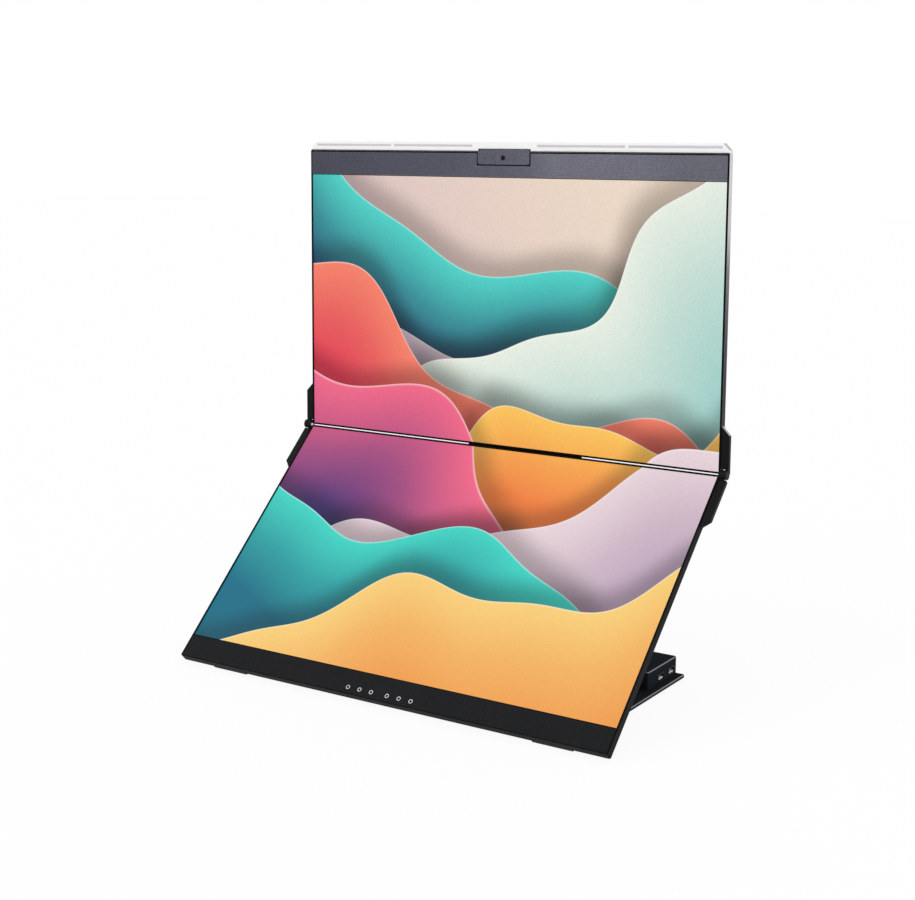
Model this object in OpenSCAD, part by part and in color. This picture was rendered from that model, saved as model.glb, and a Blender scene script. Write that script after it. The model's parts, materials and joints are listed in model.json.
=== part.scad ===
// Dual stacked monitor: two 24-inch class screens joined by side hinges, the lower one leaning back
// like a drawing board on a hinged stand arm, with a connection hub on the base plate.
// Row frame: +X to the viewer's right, +Y away from the viewer, +Z up, millimetres.
// The origin is the middle of the footprint, on the desk.

/* [Screens] */
// Width of the lit picture of each screen
active_w = 527.04; // [480:1:560]
// Height of the lit picture of each screen
active_h = 296.46; // [270:1:320]
// Black border beside the picture
side_bezel = 2; // [1.8:0.1:6]
// Border at the edge where the two screens meet
inner_bezel = 1.7; // [1.7:0.1:5]
// Height of the satin strip above the upper picture
brow_h = 29; // [24:0.5:40]
// Height of the chin below the lower picture
chin_h = 28; // [26:0.5:42]
// Thickness of each display at its edges
display_t = 10; // [9.4:0.1:13]
// Thickness of the front frame's lip
lip_t = 1; // [0.8:0.1:1.4]
// Corner radius of each display
corner_r = 2; // [1:0.5:4]
// Wall of the rear covers
cover_wall = 1; // [0.8:0.1:1.1]
// Back wall of the rear covers
back_wall = 1.5; // [1.2:0.1:2]

/* [Panel stack] */
// Border of glass kept under the strip and the chin
glass_border = 3.2; // [2.6:0.1:4]
// Thickness of the liquid crystal cell
cell_t = 1.4; // [1:0.1:1.6]
// Thickness of the light guide and its films
guide_t = 3; // [2:0.1:3.2]
// Room for the row of light-emitting diodes at the guide's edge
led_room = 2; // [1.8:0.1:2.4]
// Sheet thickness of the backlight tray
tray_t = 0.8; // [0.5:0.1:1]
// Rim of the tray round the cell
rim_t = 0.4; // [0.3:0.1:0.5]
// Clearance between nested parts
fit_gap = 0.1; // [0.05:0.05:0.15]

/* [Fold] */
// How far the lower screen leans from the upper one's plane
lean = 46.6; // [30:0.1:60]
// Hinge axis ahead of both screen faces
face_gap = 0.8; // [0.8:0.1:2]
// Hinge axis beyond both meeting edges
edge_gap = 0.5; // [0.5:0.1:2]
// Width of each side bracket
bracket_w = 9; // [8:0.5:14]
// Length of each side bracket along the upper display
upper_bracket_len = 50; // [44:1:70]
// Length of each side bracket along the lower display
lower_bracket_len = 65; // [44:1:80]
// Depth of each side bracket
bracket_t = 5; // [4.5:0.1:6]
// Radius of the hinge knuckles
knuckle_r = 5; // [4:0.1:6]
// Radius of the screen hinge pins
pin_r = 2.4; // [1.5:0.1:2.5]
// Clearance round a turning pin
pin_gap = 0.05; // [0.02:0.01:0.1]
// Clearance between parts that turn past each other
turn_gap = 0.4; // [0.3:0.1:0.6]

/* [Camera strip and rail] */
// Height of the silver rail above the strip
rail_h = 10; // [7:0.5:14]
// Cut corner at both ends of the rail
rail_cut = 8; // [4:0.5:8]
// Length of each slot in the rail
slot_len = 106; // [60:1:110]
// Height of each slot in the rail
slot_h = 3; // [2:0.5:5]
// Width of the camera block
camera_w = 66; // [50:1:90]
// Height of the camera block
camera_h = 15.8; // [13:0.1:20]
// Radius of the camera lens
lens_r = 2.8; // [2:0.1:4]

/* [Chin] */
// Radius of each touch key ring
ring_r = 2.3; // [1.8:0.1:3]
// Distance from one touch key to the next
ring_pitch = 14.6; // [10:0.1:18]
// Extra distance in the middle of the row of keys
ring_middle = 20; // [15:0.5:28]
// Height of the row of keys above the chin's lower edge
key_rise = 7.6; // [7:0.1:12]

/* [Rear housings] */
// Half the width of the housing on each back
housing_half_w = 170; // [150:1:220]
// Where the housings start, from the hinge
housing_start = 70; // [60:1:90]
// Where the housings end, from the hinge
housing_end = 250; // [245:1:280]
// Depth of the housings behind the displays
housing_d = 9; // [8:0.5:14]
// Slope of the housings' edges
housing_slope = 9; // [4:0.5:14]

/* [Stand] */
// Where the stand's tilt hinge sits, from the screen hinge
tilt_at = 170; // [165:1:180]
// Tilt axis behind the lower housing
tilt_off = 12; // [11.5:0.5:18]
// Stand foot hinge ahead of the hub
foot_ahead = 14; // [13:0.5:20]
// Half the width of the stand arm
arm_half_w = 52; // [46:1:70]
// Thickness of the stand arm
arm_t = 8; // [6:0.5:10]
// Radius of the stand's hinge barrels
barrel_r = 8; // [7:0.5:9]
// Radius of the stand's hinge pins
stand_pin_r = 3; // [2.5:0.1:4]
// Thickness of the stand's hinge ears
ear_t = 6; // [4:0.5:8]
// Thickness of the friction washers
washer_t = 0.5; // [0.4:0.1:1]

/* [Base] */
// Width of the base plate
plate_w = 441; // [380:1:500]
// Depth of the base plate
plate_d = 211; // [180:1:230]
// Thickness of the base plate
plate_t = 4; // [3:0.5:6]
// Bevel along the plate's upper edge
plate_bevel = 1; // [0.5:0.1:1.5]
// Height of the rubber feet
feet_h = 1; // [0.5:0.5:4]
// Distance of the rubber feet from the plate's edges
feet_inset = 12; // [10:1:40]
// Rear edge of the plate behind the screen hinge
plate_rear = 26; // [24:0.5:40]
// How far the chin's corner clears the desk
chin_clear = 1.7; // [0.8:0.1:3]

/* [Hub] */
// Width of the hub
hub_w = 422; // [390:1:430]
// Depth of the hub
hub_d = 68; // [60:1:80]
// Height of the hub above the plate
hub_h = 19; // [16.5:0.5:24]
// Wall of the hub
hub_wall = 2; // [1.5:0.1:2.5]
// Distance between the two side sockets
usb_pitch = 25; // [20:0.5:30]

/* [Hidden] */
$fn = 48;
cut = 1;

// Each display is drawn standing, with the screen hinge axis at its lower edge: x along the
// hinge, y behind the axis, z along the display away from the hinge.
display_w = active_w + 2 * side_bezel;
half_w = display_w / 2;
face_y = face_gap;
lip_y = face_y + lip_t;
back_y = face_y + display_t;
picture_0 = edge_gap + inner_bezel;
picture_1 = picture_0 + active_h;
upper_end = picture_1 + brow_h;
lower_end = picture_1 + chin_h;

// The stack of glass, light guide and tray behind the lip
edge_stack = cover_wall + 2 * fit_gap + rim_t;
cell_back = lip_y + cell_t;
guide_back = cell_back + guide_t;
tray_back = guide_back + tray_t;
stack_0 = edge_gap + edge_stack;
stack_1 = picture_1 + glass_border;
stack_half = half_w - edge_stack;
tray_edge = stack_1 + fit_gap + rim_t;
inside_y = back_y - back_wall;
housing_y = back_y + housing_d;
housing_in = housing_y - back_wall;

// The strip and the chin sit in a pocket of the front frame
frame_line = 0.8;
pocket_0 = picture_1 + frame_line;
pocket_half = half_w - 1.6;
shelf_t = 1.2;
shelf_0 = tray_edge + fit_gap;

// Where the hinge stands in the row frame
leg_y = sin(lean);
leg_z = cos(lean);
hinge_z = lower_end * leg_z + back_y * leg_y + chin_clear;
front_reach = lower_end * leg_y - face_y * leg_z;
hinge_y = (front_reach - plate_rear) / 2;

// Stand hinges, in the row frame
plate_z = feet_h + plate_t;
hub_rear_gap = 1;
hub_y1 = hinge_y + plate_rear - hub_rear_gap;
hub_y0 = hub_y1 - hub_d;
foot_sheet = 2.5;
foot_y = hub_y0 - foot_ahead;
foot_z = plate_z + foot_sheet + barrel_r + turn_gap;
tilt_y = housing_y + tilt_off;
tilt_row_y = hinge_y - tilt_at * leg_y + tilt_y * leg_z;
tilt_row_z = hinge_z - tilt_at * leg_z - tilt_y * leg_y;
arm_dy = tilt_row_y - foot_y;
arm_dz = tilt_row_z - foot_z;
arm_len = norm([arm_dy, arm_dz]);
arm_angle = atan2(-arm_dy, arm_dz);
barrel_half = arm_half_w + 4;
ear_0 = barrel_half + washer_t;
bolt_pitch = 75;
bolt_r = 2;

// Side brackets
bracket_out = half_w + bracket_w;
bracket_y0 = face_y + 0.5;
bracket_y1 = bracket_y0 + bracket_t;
bracket_cut = 9.5;
knuckle_mid = half_w + bracket_w / 2 + 0.2;
pin_head_x0 = 0.3;
pin_head_x1 = 1.1;
pin_stop = 1.2;
leaf_t = 1.5;
leaf_0 = 9;
leaf_1 = min(upper_bracket_len, lower_bracket_len) - bracket_cut - 2;
leaf_in = 24;
rivet_at = [leaf_0 + 5, leaf_1 - 5];

// Screws that hold the rear covers
screw_inset = 45;
screw_low = 62;
screw_high = 14;
screw_x = half_w - screw_inset;
cover_screw_spots = [
    for (x = [-screw_x, screw_x], z = [screw_low, picture_1 - screw_high]) [x, z]
];

red_copper = "#b87333";
black_paint = "#151517";
satin_grey = "#3a3c45";
silver = "#c9ccd2";

module place_upper() {
    translate([0, hinge_y, hinge_z]) children();
}

module place_lower() {
    translate([0, hinge_y, hinge_z]) rotate([-lean, 0, 0]) mirror([0, 0, 1]) children();
}

// A box between two corners
module slab(x0, x1, y0, y1, z0, z1) {
    translate([x0, y0, z0]) cube([x1 - x0, y1 - y0, z1 - z0]);
}

// A flat shape drawn in x and z, standing from y0 back to y1
module sheet(y0, y1) {
    translate([0, y1, 0]) rotate([90, 0, 0]) linear_extrude(y1 - y0) children();
}

// A shape drawn in y and z, running from x0 to x1
module side_shape(x0, x1) {
    translate([x0, 0, 0]) rotate([90, 0, 90]) linear_extrude(x1 - x0) children();
}

module rect(half, z0, z1) {
    translate([-half, z0]) square([2 * half, z1 - z0]);
}

module round_rect(half, z0, z1, r) {
    rect(half - r, z0, z1);
    rect(half, z0 + r, z1 - r);
    for (x = [-half + r, half - r], z = [z0 + r, z1 - r]) translate([x, z]) circle(r);
}

// A cylinder along x
module bar_x(x0, x1, r) {
    translate([x0, 0, 0]) rotate([0, 90, 0]) cylinder(r = r, h = x1 - x0);
}

// A cylinder along y
module bar_y(y0, y1, r) {
    translate([0, y1, 0]) rotate([90, 0, 0]) cylinder(r = r, h = y1 - y0);
}

// A block on a display's back whose four sides slope in towards its outer face. Its straight
// root reaches into what carries it.
module sloped_block(half, z0, z1, y0, y1, slope, root) {
    intersection() {
        translate([0, 0, z0]) linear_extrude(z1 - z0)
            polygon([[-half, y0 - root], [half, y0 - root], [half, y0], [half - slope, y1],
                     [-half + slope, y1], [-half, y0]]);
        side_shape(-half, half)
            polygon([[y0 - root, z0], [y0 - root, z1], [y0, z1], [y1, z1 - slope],
                     [y1, z0 + slope], [y0, z0]]);
    }
}

// A block with a bevel round its top face
module bevel_block(half, y0, y1, z0, z1, bevel) {
    intersection() {
        translate([0, y1, 0]) rotate([90, 0, 0]) linear_extrude(y1 - y0)
            polygon([[-half, z0], [half, z0], [half, z1 - bevel], [half - bevel, z1],
                     [-half + bevel, z1], [-half, z1 - bevel]]);
        side_shape(-half, half)
            polygon([[y0, z0], [y1, z0], [y1, z1 - bevel], [y1 - bevel, z1],
                     [y0 + bevel, z1], [y0, z1 - bevel]]);
    }
}

// Front frame: a thin lip round the picture, and a shelf that carries the strip or the chin
module front_frame(end) {
    difference() {
        union() {
            sheet(face_y, lip_y) round_rect(half_w, edge_gap, end, corner_r);
            sheet(lip_y, lip_y + shelf_t)
                rect(half_w - cover_wall - fit_gap, shelf_0, end - cover_wall - fit_gap);
        }
        sheet(face_y - cut, lip_y + cut) rect(active_w / 2, picture_0, picture_1);
        sheet(face_y - cut, lip_y) rect(pocket_half, pocket_0, end - frame_line);
    }
}

// The plate that fills the pocket of the front frame
module pocket_plate(end) {
    sheet(face_y, lip_y)
        rect(pocket_half - fit_gap, pocket_0 + fit_gap, end - frame_line - fit_gap);
}

module lcd_cell() {
    sheet(lip_y, cell_back) rect(stack_half, stack_0, stack_1);
}

module light_guide() {
    sheet(cell_back, guide_back) rect(stack_half, stack_0, stack_1 - led_room);
}

// A strip of circuit board along the guide's outer edge, with its diodes facing the guide
module led_bar() {
    strip_t = 0.8;
    led_w = 3;
    led_count = 48;
    strip_1 = stack_1 + fit_gap;
    led_half = stack_half - 12;
    led_step = 2 * led_half / (led_count - 1);
    slab(-stack_half + 4, stack_half - 4, cell_back + fit_gap, guide_back,
        strip_1 - strip_t, strip_1);
    for (i = [0:led_count - 1]) translate([-led_half + i * led_step, 0, 0])
        slab(-led_w / 2, led_w / 2, cell_back + 3 * fit_gap, guide_back - 2 * fit_gap,
            stack_1 - led_room + fit_gap, strip_1 - strip_t / 2);
}

// Steel tray behind the light guide, with its rim and the bosses for the cover screws
module backlight_tray() {
    difference() {
        sheet(lip_y, tray_back) rect(stack_half + fit_gap + rim_t,
            stack_0 - fit_gap - rim_t, tray_edge);
        sheet(lip_y - cut, guide_back)
            rect(stack_half + fit_gap, stack_0 - fit_gap, stack_1 + fit_gap);
        rivet_holes();
    }
    for (spot = cover_screw_spots) translate([spot[0], 0, spot[1]]) difference() {
        bar_y(tray_back, inside_y, 4);
        bar_y(tray_back - cut, inside_y + cut, 1.5);
    }
}

module rivet_holes() {
    for (side = [-1, 1], z = rivet_at)
        translate([side * (half_w - leaf_in + 8), 0, z]) bar_y(guide_back, housing_y, 1.2);
}

// Rear cover: a shallow tray with full side walls and a sloped housing for the electronics
module rear_cover(end) {
    difference() {
        union() {
            sheet(lip_y, back_y) round_rect(half_w, edge_gap, end, corner_r);
            sloped_block(housing_half_w, housing_start, housing_end, back_y, housing_y,
                housing_slope, back_wall / 2);
        }
        sheet(lip_y - cut, inside_y)
            rect(half_w - cover_wall, edge_gap + cover_wall, end - cover_wall);
        sloped_block(housing_half_w - 2 * back_wall, housing_start + 2 * back_wall,
            housing_end - 2 * back_wall, inside_y, housing_in, housing_slope - 1, cut);
        for (spot = cover_screw_spots) translate([spot[0], 0, spot[1]]) {
            bar_y(inside_y - cut, back_y + cut, 1.6);
            bar_y(back_y - 0.8, back_y + cut, 3.2);
        }
        leaf_slots();
        vents();
    }
}

// Slots in the side walls for the hinge brackets' leaves
module leaf_slots() {
    for (side = [-1, 1]) translate([side * half_w, 0, 0])
        slab(-cover_wall - cut, cover_wall + cut, tray_back - fit_gap,
            tray_back + leaf_t + fit_gap, leaf_0 - fit_gap, leaf_1 + fit_gap);
}

// Two rows of vent slots near the outer end of the housing
module vents() {
    vent_w = 3;
    vent_pitch = 8;
    vent_rows = 2;
    vent_len = 16;
    vent_count = 15;
    for (row = [0:vent_rows - 1], i = [0:vent_count - 1])
        translate([(i - (vent_count - 1) / 2) * vent_pitch, 0,
                   housing_end - housing_slope - 26 - row * (vent_len + 6)])
            slab(-vent_w / 2, vent_w / 2, housing_in - cut, housing_y + cut, 0, vent_len);
}

module cover_screws() {
    for (spot = cover_screw_spots) translate([spot[0], 0, spot[1]]) {
        bar_y(back_y - 0.8, back_y - 0.1, 2.9);
        bar_y(tray_back + 0.2, back_y - 0.5, 1.5);
    }
}

// A side bracket with its knuckle. outer says whether its knuckle is the outer one, which is
// closed at its outer face. The inner one takes the pin's head.
module hinge_bracket(side, outer, len) {
    inner_x = half_w;
    split = knuckle_mid;
    knuckle_x0 = outer ? split + turn_gap / 2 : inner_x + pin_head_x0;
    knuckle_x1 = outer ? bracket_out : split - turn_gap / 2;
    clear_x0 = outer ? inner_x - cut : split - turn_gap / 2;
    clear_x1 = outer ? split + turn_gap / 2 : bracket_out + cut;
    knuckle_top = knuckle_r + turn_gap;
    mirror([side > 0 ? 0 : 1, 0, 0]) difference() {
        union() {
            sheet(bracket_y0, bracket_y1) polygon([
                [inner_x, 0], [bracket_out, 0], [bracket_out, len - bracket_cut],
                [inner_x, len]]);
            bar_x(knuckle_x0, knuckle_x1, knuckle_r);
            slab(inner_x, inner_x + 2.5, bracket_y1 - cut, tray_back + leaf_t, leaf_0, leaf_1);
            slab(inner_x - leaf_in, inner_x + cut, tray_back, tray_back + leaf_t,
                leaf_0, leaf_1);
        }
        slab(clear_x0, clear_x1, -knuckle_top, back_y, -knuckle_top, knuckle_top);
        if (outer) {
            bar_x(inner_x - cut, bracket_out - pin_stop, pin_r + pin_gap);
        } else {
            bar_x(inner_x - cut, bracket_out + cut, pin_r);
            bar_x(inner_x - cut, inner_x + pin_head_x1, pin_r + 1);
        }
        for (z = rivet_at) translate([half_w - leaf_in + 8, 0, z])
            bar_y(guide_back, housing_y, 1.2);
    }
}

module bracket_rivets() {
    for (side = [-1, 1], z = rivet_at)
        translate([side * (half_w - leaf_in + 8), 0, z]) {
            bar_y(guide_back, tray_back + leaf_t, 1.2);
            bar_y(tray_back + leaf_t, tray_back + leaf_t + 0.4, 2.4);
        }
}

// A spring washer between the two knuckles of each side, which gives the hinge its friction
module spring_washer(side) {
    spring_t = turn_gap - 2 * pin_gap;
    mirror([side > 0 ? 0 : 1, 0, 0]) difference() {
        bar_x(knuckle_mid - spring_t / 2, knuckle_mid + spring_t / 2, knuckle_r - 1);
        bar_x(knuckle_mid - cut, knuckle_mid + cut, pin_r);
    }
}

module hinge_pin(side) {
    mirror([side > 0 ? 0 : 1, 0, 0]) {
        bar_x(half_w + pin_head_x0, bracket_out - pin_stop - turn_gap, pin_r);
        bar_x(half_w + pin_head_x0, half_w + pin_head_x1, pin_r + 0.8);
    }
}

// Upper display

camera_half = camera_w / 2;
camera_proud = 1.2;
camera_front = face_y - 0.6;
camera_back = 6;
camera_0 = upper_end + camera_proud - camera_h;
camera_1 = upper_end + camera_proud;
camera_gap = 0.35;
rail_y = lip_y + 0.4;
rail_inset = 0.3;

// The room that the camera block takes out of its neighbours
module camera_room() {
    slab(-camera_half - camera_gap, camera_half + camera_gap, camera_front - cut,
        camera_back + camera_gap, camera_0 - camera_gap, camera_1 + camera_gap);
}

module upper_front_frame() {
    color(black_paint) place_upper() difference() {
        front_frame(upper_end);
        camera_room();
    }
}

module brow_strip() {
    color(satin_grey) place_upper() difference() {
        pocket_plate(upper_end);
        camera_room();
    }
}

module upper_lcd_panel() {
    color("#e8927c") place_upper() lcd_cell();
}

module upper_light_guide() {
    color("#dfe9ef") place_upper() light_guide();
}

module upper_led_bar() {
    color("#e9e6d8") place_upper() led_bar();
}

// Circuit boards on short bosses of the backlight trays
board_boss_h = 3;
boss_inset = 6;
boss_r = 2.5;
board_t = 1.6;
chip_h = 2;
chip_w = 25;
plug_h = 2.5;
plug_d = 8;
plug_inset = 10;
upper_board_half = 60;
upper_board_at = 100;
upper_board_h = 80;

module upper_backlight_tray() {
    color("#9a9da1") place_upper() {
        backlight_tray();
        for (x = [-upper_board_half + boss_inset, upper_board_half - boss_inset],
             z = [boss_inset, upper_board_h - boss_inset])
            translate([x, 0, upper_board_at + z])
                bar_y(tray_back, tray_back + board_boss_h, boss_r);
    }
}

module upper_rear_cover() {
    color(silver) place_upper() difference() {
        rear_cover(upper_end);
        camera_room();
    }
}

module top_rail() {
    rail_half = half_w - rail_inset;
    rail_0 = upper_end;
    rail_1 = upper_end + rail_h;
    slot_z = rail_0 + rail_h * 0.55;
    slot_gap = 4;
    color(silver) place_upper() difference() {
        sheet(rail_y, back_y) polygon([
            [-rail_half, rail_0], [rail_half, rail_0], [rail_half, rail_1 - rail_cut],
            [rail_half - rail_cut, rail_1], [-rail_half + rail_cut, rail_1],
            [-rail_half, rail_1 - rail_cut]]);
        sheet(rail_y + 2.4, back_y - 1.5) polygon([
            [-rail_half + 4, rail_0 - cut], [rail_half - 4, rail_0 - cut],
            [rail_half - rail_cut - 2, rail_1 - 1.5], [-rail_half + rail_cut + 2, rail_1 - 1.5]]);
        for (side = [-1, 1], i = [0, 1])
            translate([side * (rail_half - rail_cut - slot_len / 2
                               - i * (slot_len + slot_gap)), 0, slot_z])
                slab(-slot_len / 2, slot_len / 2, rail_y - cut, rail_y + 1.2,
                    -slot_h / 2, slot_h / 2);
        camera_room();
    }
}

module webcam_housing() {
    color(satin_grey) place_upper() difference() {
        slab(-camera_half, camera_half, camera_front, camera_back, camera_0, camera_1);
        translate([0, 0, (camera_0 + upper_end) / 2]) {
            bar_y(camera_front - cut, camera_front + 2, lens_r);
        }
        slab(-camera_half + 2, camera_half - 2, camera_back - 1.4, camera_back + cut,
            camera_0 + 2, camera_1 - 3);
    }
}

module webcam_lens() {
    color("#0b0d12") place_upper() translate([0, 0, (camera_0 + upper_end) / 2])
        bar_y(camera_front + 0.4, camera_front + 2, lens_r);
}

module webcam_board() {
    color("#1f5c3a") place_upper()
        slab(-camera_half + 2 + fit_gap, camera_half - 2 - fit_gap, camera_back - 1.4,
            camera_back, camera_0 + 2 + fit_gap, camera_1 - 3 - fit_gap);
}

// A circuit board with its main chip and one long plug at its edge, drawn from its lower
// left corner
module circuit_board(w, h) {
    board_0 = tray_back + board_boss_h;
    top = board_0 + board_t;
    slab(0, w, board_0, top, 0, h);
    slab((w - chip_w) / 2, (w + chip_w) / 2, top - fit_gap, top + chip_h,
        (h - chip_w) / 2, (h + chip_w) / 2);
    slab(plug_inset, w - plug_inset, top - fit_gap, top + plug_h, h - plug_inset,
        h - plug_inset + plug_d);
}

module upper_driver_board() {
    color("#1f5c3a") place_upper() translate([-upper_board_half, 0, upper_board_at])
        circuit_board(2 * upper_board_half, upper_board_h);
}

module upper_hinge_bracket_left() {
    color(black_paint) place_upper() hinge_bracket(-1, true, upper_bracket_len);
}

module upper_hinge_bracket_right() {
    color(black_paint) place_upper() hinge_bracket(1, true, upper_bracket_len);
}

// The cover behind the seam, over the flat cable that joins the two displays
bridge_mid = 24;
bridge_half = 73;
bridge_drop = 12;
bridge_rise = 30;
bridge_t = 3;
bridge_rim = 8;
bridge_room = 1.4;

module bridge_cover() {
    color(black_paint) place_upper() translate([bridge_mid, 0, 0]) difference() {
        slab(-bridge_half, bridge_half, back_y, back_y + bridge_t, -bridge_drop, bridge_rise);
        slab(-bridge_half - cut, bridge_half + cut, back_y - cut, back_y + turn_gap,
            -bridge_drop - cut, edge_gap);
        slab(-bridge_half + bridge_rim, bridge_half - bridge_rim, back_y - cut,
            back_y + bridge_room, -bridge_drop - cut, bridge_rise - bridge_rim);
    }
}

module upper_cover_screws() {
    color("#5c5f66") place_upper() cover_screws();
}

module upper_bracket_rivets() {
    color("#5c5f66") place_upper() bracket_rivets();
}

// Lower display

ring_offsets = [
    for (i = [0:2]) ring_middle / 2 + i * ring_pitch
];
ring_spots = concat([for (x = ring_offsets) -x], ring_offsets);
ring_z = lower_end - key_rise;
ring_depth = 0.6;
ring_wall = 0.7;

module ring_shapes(gap) {
    for (x = ring_spots) translate([x, 0, ring_z]) difference() {
        bar_y(face_y, face_y + ring_depth + gap, ring_r + gap);
        bar_y(face_y - cut, face_y + ring_depth + cut, ring_r - ring_wall - gap);
    }
}

module lower_front_frame() {
    color(black_paint) place_lower() front_frame(lower_end);
}

module chin_cover() {
    color("#242226") place_lower() difference() {
        pocket_plate(lower_end);
        translate([0, -0.01, 0]) ring_shapes(0.02);
    }
}

module touch_key_rings() {
    color("white") place_lower() ring_shapes(0);
}

key_board_half = 55;
key_board_t = 1.2;
key_board_rim = 3.2;

module touch_key_board() {
    board_y = lip_y + shelf_t;
    board_reach = ring_r + key_board_rim;
    color("#1f5c3a") place_lower()
        slab(-key_board_half, key_board_half, board_y, board_y + key_board_t,
            ring_z - board_reach, ring_z + board_reach);
}

module lower_lcd_panel() {
    color("#e8927c") place_lower() lcd_cell();
}

module lower_light_guide() {
    color("#dfe9ef") place_lower() light_guide();
}

module lower_led_bar() {
    color("#e9e6d8") place_lower() led_bar();
}

lower_board_w = 90;
lower_board_h = 100;
lower_board_in = 56;
lower_board_at = tilt_at - lower_board_h / 2;
post_r = 5;

module lower_backlight_tray() {
    color("#9a9da1") place_lower() {
        backlight_tray();
        for (side = [-1, 1], x = [boss_inset, lower_board_w - boss_inset],
             z = [boss_inset, lower_board_h - boss_inset])
            translate([side * (lower_board_in + x), 0, lower_board_at + z])
                bar_y(tray_back, tray_back + board_boss_h, boss_r);
        for (x = [-bolt_pitch / 2, bolt_pitch / 2], z = [-bolt_pitch / 2, bolt_pitch / 2])
            translate([x, 0, tilt_at + z]) difference() {
                bar_y(tray_back, housing_in, post_r);
                bar_y(tray_back + 0.5, housing_in + cut, bolt_r);
            }
    }
}

module lower_rear_cover() {
    color("#2a2b2f") place_lower() difference() {
        rear_cover(lower_end);
        bolt_holes(bolt_r + 0.3);
    }
}

module bolt_holes(r) {
    for (x = [-bolt_pitch / 2, bolt_pitch / 2], z = [-bolt_pitch / 2, bolt_pitch / 2])
        translate([x, 0, tilt_at + z]) bar_y(housing_in - cut, housing_y + tilt_off, r);
}

module lower_main_board() {
    color("#1f5c3a") place_lower() translate([lower_board_in, 0, lower_board_at])
        circuit_board(lower_board_w, lower_board_h);
}

// The power board carries a row of capacitors under its chip
module lower_power_board() {
    capacitor_r = 5.5;
    capacitor_h = 4.4;
    capacitor_pitch = 17;
    capacitor_top = tray_back + board_boss_h + board_t;
    color("#7a5a2a") place_lower()
        translate([-lower_board_in - lower_board_w, 0, lower_board_at]) {
            circuit_board(lower_board_w, lower_board_h);
            for (i = [-1.5:1.5]) translate([lower_board_w / 2 + i * capacitor_pitch, 0,
                                            capacitor_pitch])
                bar_y(capacitor_top - fit_gap, capacitor_top + capacitor_h, capacitor_r);
        }
}

speaker_w = 80;
speaker_t = 4;
speaker_gap = 3;
speaker_x1 = half_w - 7 * speaker_gap;
speaker_x0 = speaker_x1 - speaker_w;
cone_r = 7;

module speaker() {
    speaker_z0 = shelf_0 + speaker_gap;
    speaker_z1 = lower_end - cover_wall - speaker_gap;
    difference() {
        slab(speaker_x0, speaker_x1, inside_y - speaker_t, inside_y, speaker_z0, speaker_z1);
        translate([(speaker_x0 + speaker_x1) / 2, 0, (speaker_z0 + speaker_z1) / 2])
            bar_y(inside_y - speaker_t - cut, inside_y - speaker_t + 1, cone_r);
    }
}

module speaker_right() {
    color("#2d2d30") place_lower() speaker();
}

module speaker_left() {
    color("#2d2d30") place_lower() mirror([1, 0, 0]) speaker();
}

module lower_hinge_bracket_left() {
    color(black_paint) place_lower() hinge_bracket(-1, false, lower_bracket_len);
}

module lower_hinge_bracket_right() {
    color(black_paint) place_lower() hinge_bracket(1, false, lower_bracket_len);
}

module hinge_pin_left() {
    color(silver) place_lower() hinge_pin(-1);
}

module hinge_pin_right() {
    color(silver) place_lower() hinge_pin(1);
}

module hinge_spring_washers() {
    color(red_copper) place_lower() for (side = [-1, 1]) spring_washer(side);
}

module lower_cover_screws() {
    color("#5c5f66") place_lower() cover_screws();
}

module lower_bracket_rivets() {
    color("#5c5f66") place_lower() bracket_rivets();
}

tilt_plate_t = 2.5;
tilt_plate_half = ear_0 + ear_t;
tilt_plate_len = 96;

// Steel bracket on the lower display's back, with two ears for the tilt hinge
module tilt_bracket() {
    plate_y = housing_y + tilt_plate_t;
    color(black_paint) place_lower() difference() {
        union() {
            slab(-tilt_plate_half, tilt_plate_half, housing_y, plate_y,
                tilt_at - tilt_plate_len / 2, tilt_at + tilt_plate_len / 2);
            for (x = [-ear_0 - ear_t, ear_0]) side_shape(x, x + ear_t) {
                translate([tilt_y, tilt_at]) circle(barrel_r);
                translate([plate_y - 0.5, tilt_at - barrel_r])
                    square([tilt_y - plate_y + 0.5, 2 * barrel_r]);
            }
        }
        translate([0, tilt_y, tilt_at]) bar_x(-tilt_plate_half - cut, tilt_plate_half + cut,
            stand_pin_r);
        bolt_holes(bolt_r + 0.3);
    }
}

module tilt_bracket_screws() {
    plate_y = housing_y + tilt_plate_t;
    color("#5c5f66") place_lower()
        for (x = [-bolt_pitch / 2, bolt_pitch / 2], z = [-bolt_pitch / 2, bolt_pitch / 2])
            translate([x, 0, tilt_at + z]) {
                bar_y(tray_back + 1, plate_y + 0.1, bolt_r);
                bar_y(plate_y, plate_y + 2, bolt_r + 1.8);
            }
}

module tilt_pin() {
    color(silver) place_lower() translate([0, tilt_y, tilt_at])
        bar_x(-tilt_plate_half - 0.5, tilt_plate_half + 0.5, stand_pin_r);
}

module washers() {
    for (side = [-1, 1]) difference() {
        bar_x(side > 0 ? barrel_half : -ear_0, side > 0 ? ear_0 : -barrel_half,
            barrel_r - 1);
        bar_x(-ear_0 - cut, ear_0 + cut, stand_pin_r);
    }
}

module tilt_washers() {
    color(red_copper) place_lower() translate([0, tilt_y, tilt_at]) washers();
}

// Rubber pads under the chin, cut level with the desk
pad_w = 45;
pad_t = 9;
pad_len = 11.5;
pad_inset = 64;
pad_at = half_w - pad_inset;

module chin_pads() {
    color("#202022") intersection() {
        place_lower() for (side = [-1, 1]) translate([side * pad_at, 0, 0])
            slab(-pad_w / 2, pad_w / 2, back_y, back_y + pad_t,
                lower_end - pad_len - 0.5, lower_end - 0.5);
        slab(-half_w, half_w, -front_reach * 2, front_reach * 2, 0, 6 * pad_t);
    }
}

// Stand arm, drawn upright from the foot hinge and leaned to its place

module place_arm() {
    translate([0, foot_y, foot_z]) rotate([arm_angle, 0, 0]) children();
}

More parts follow.
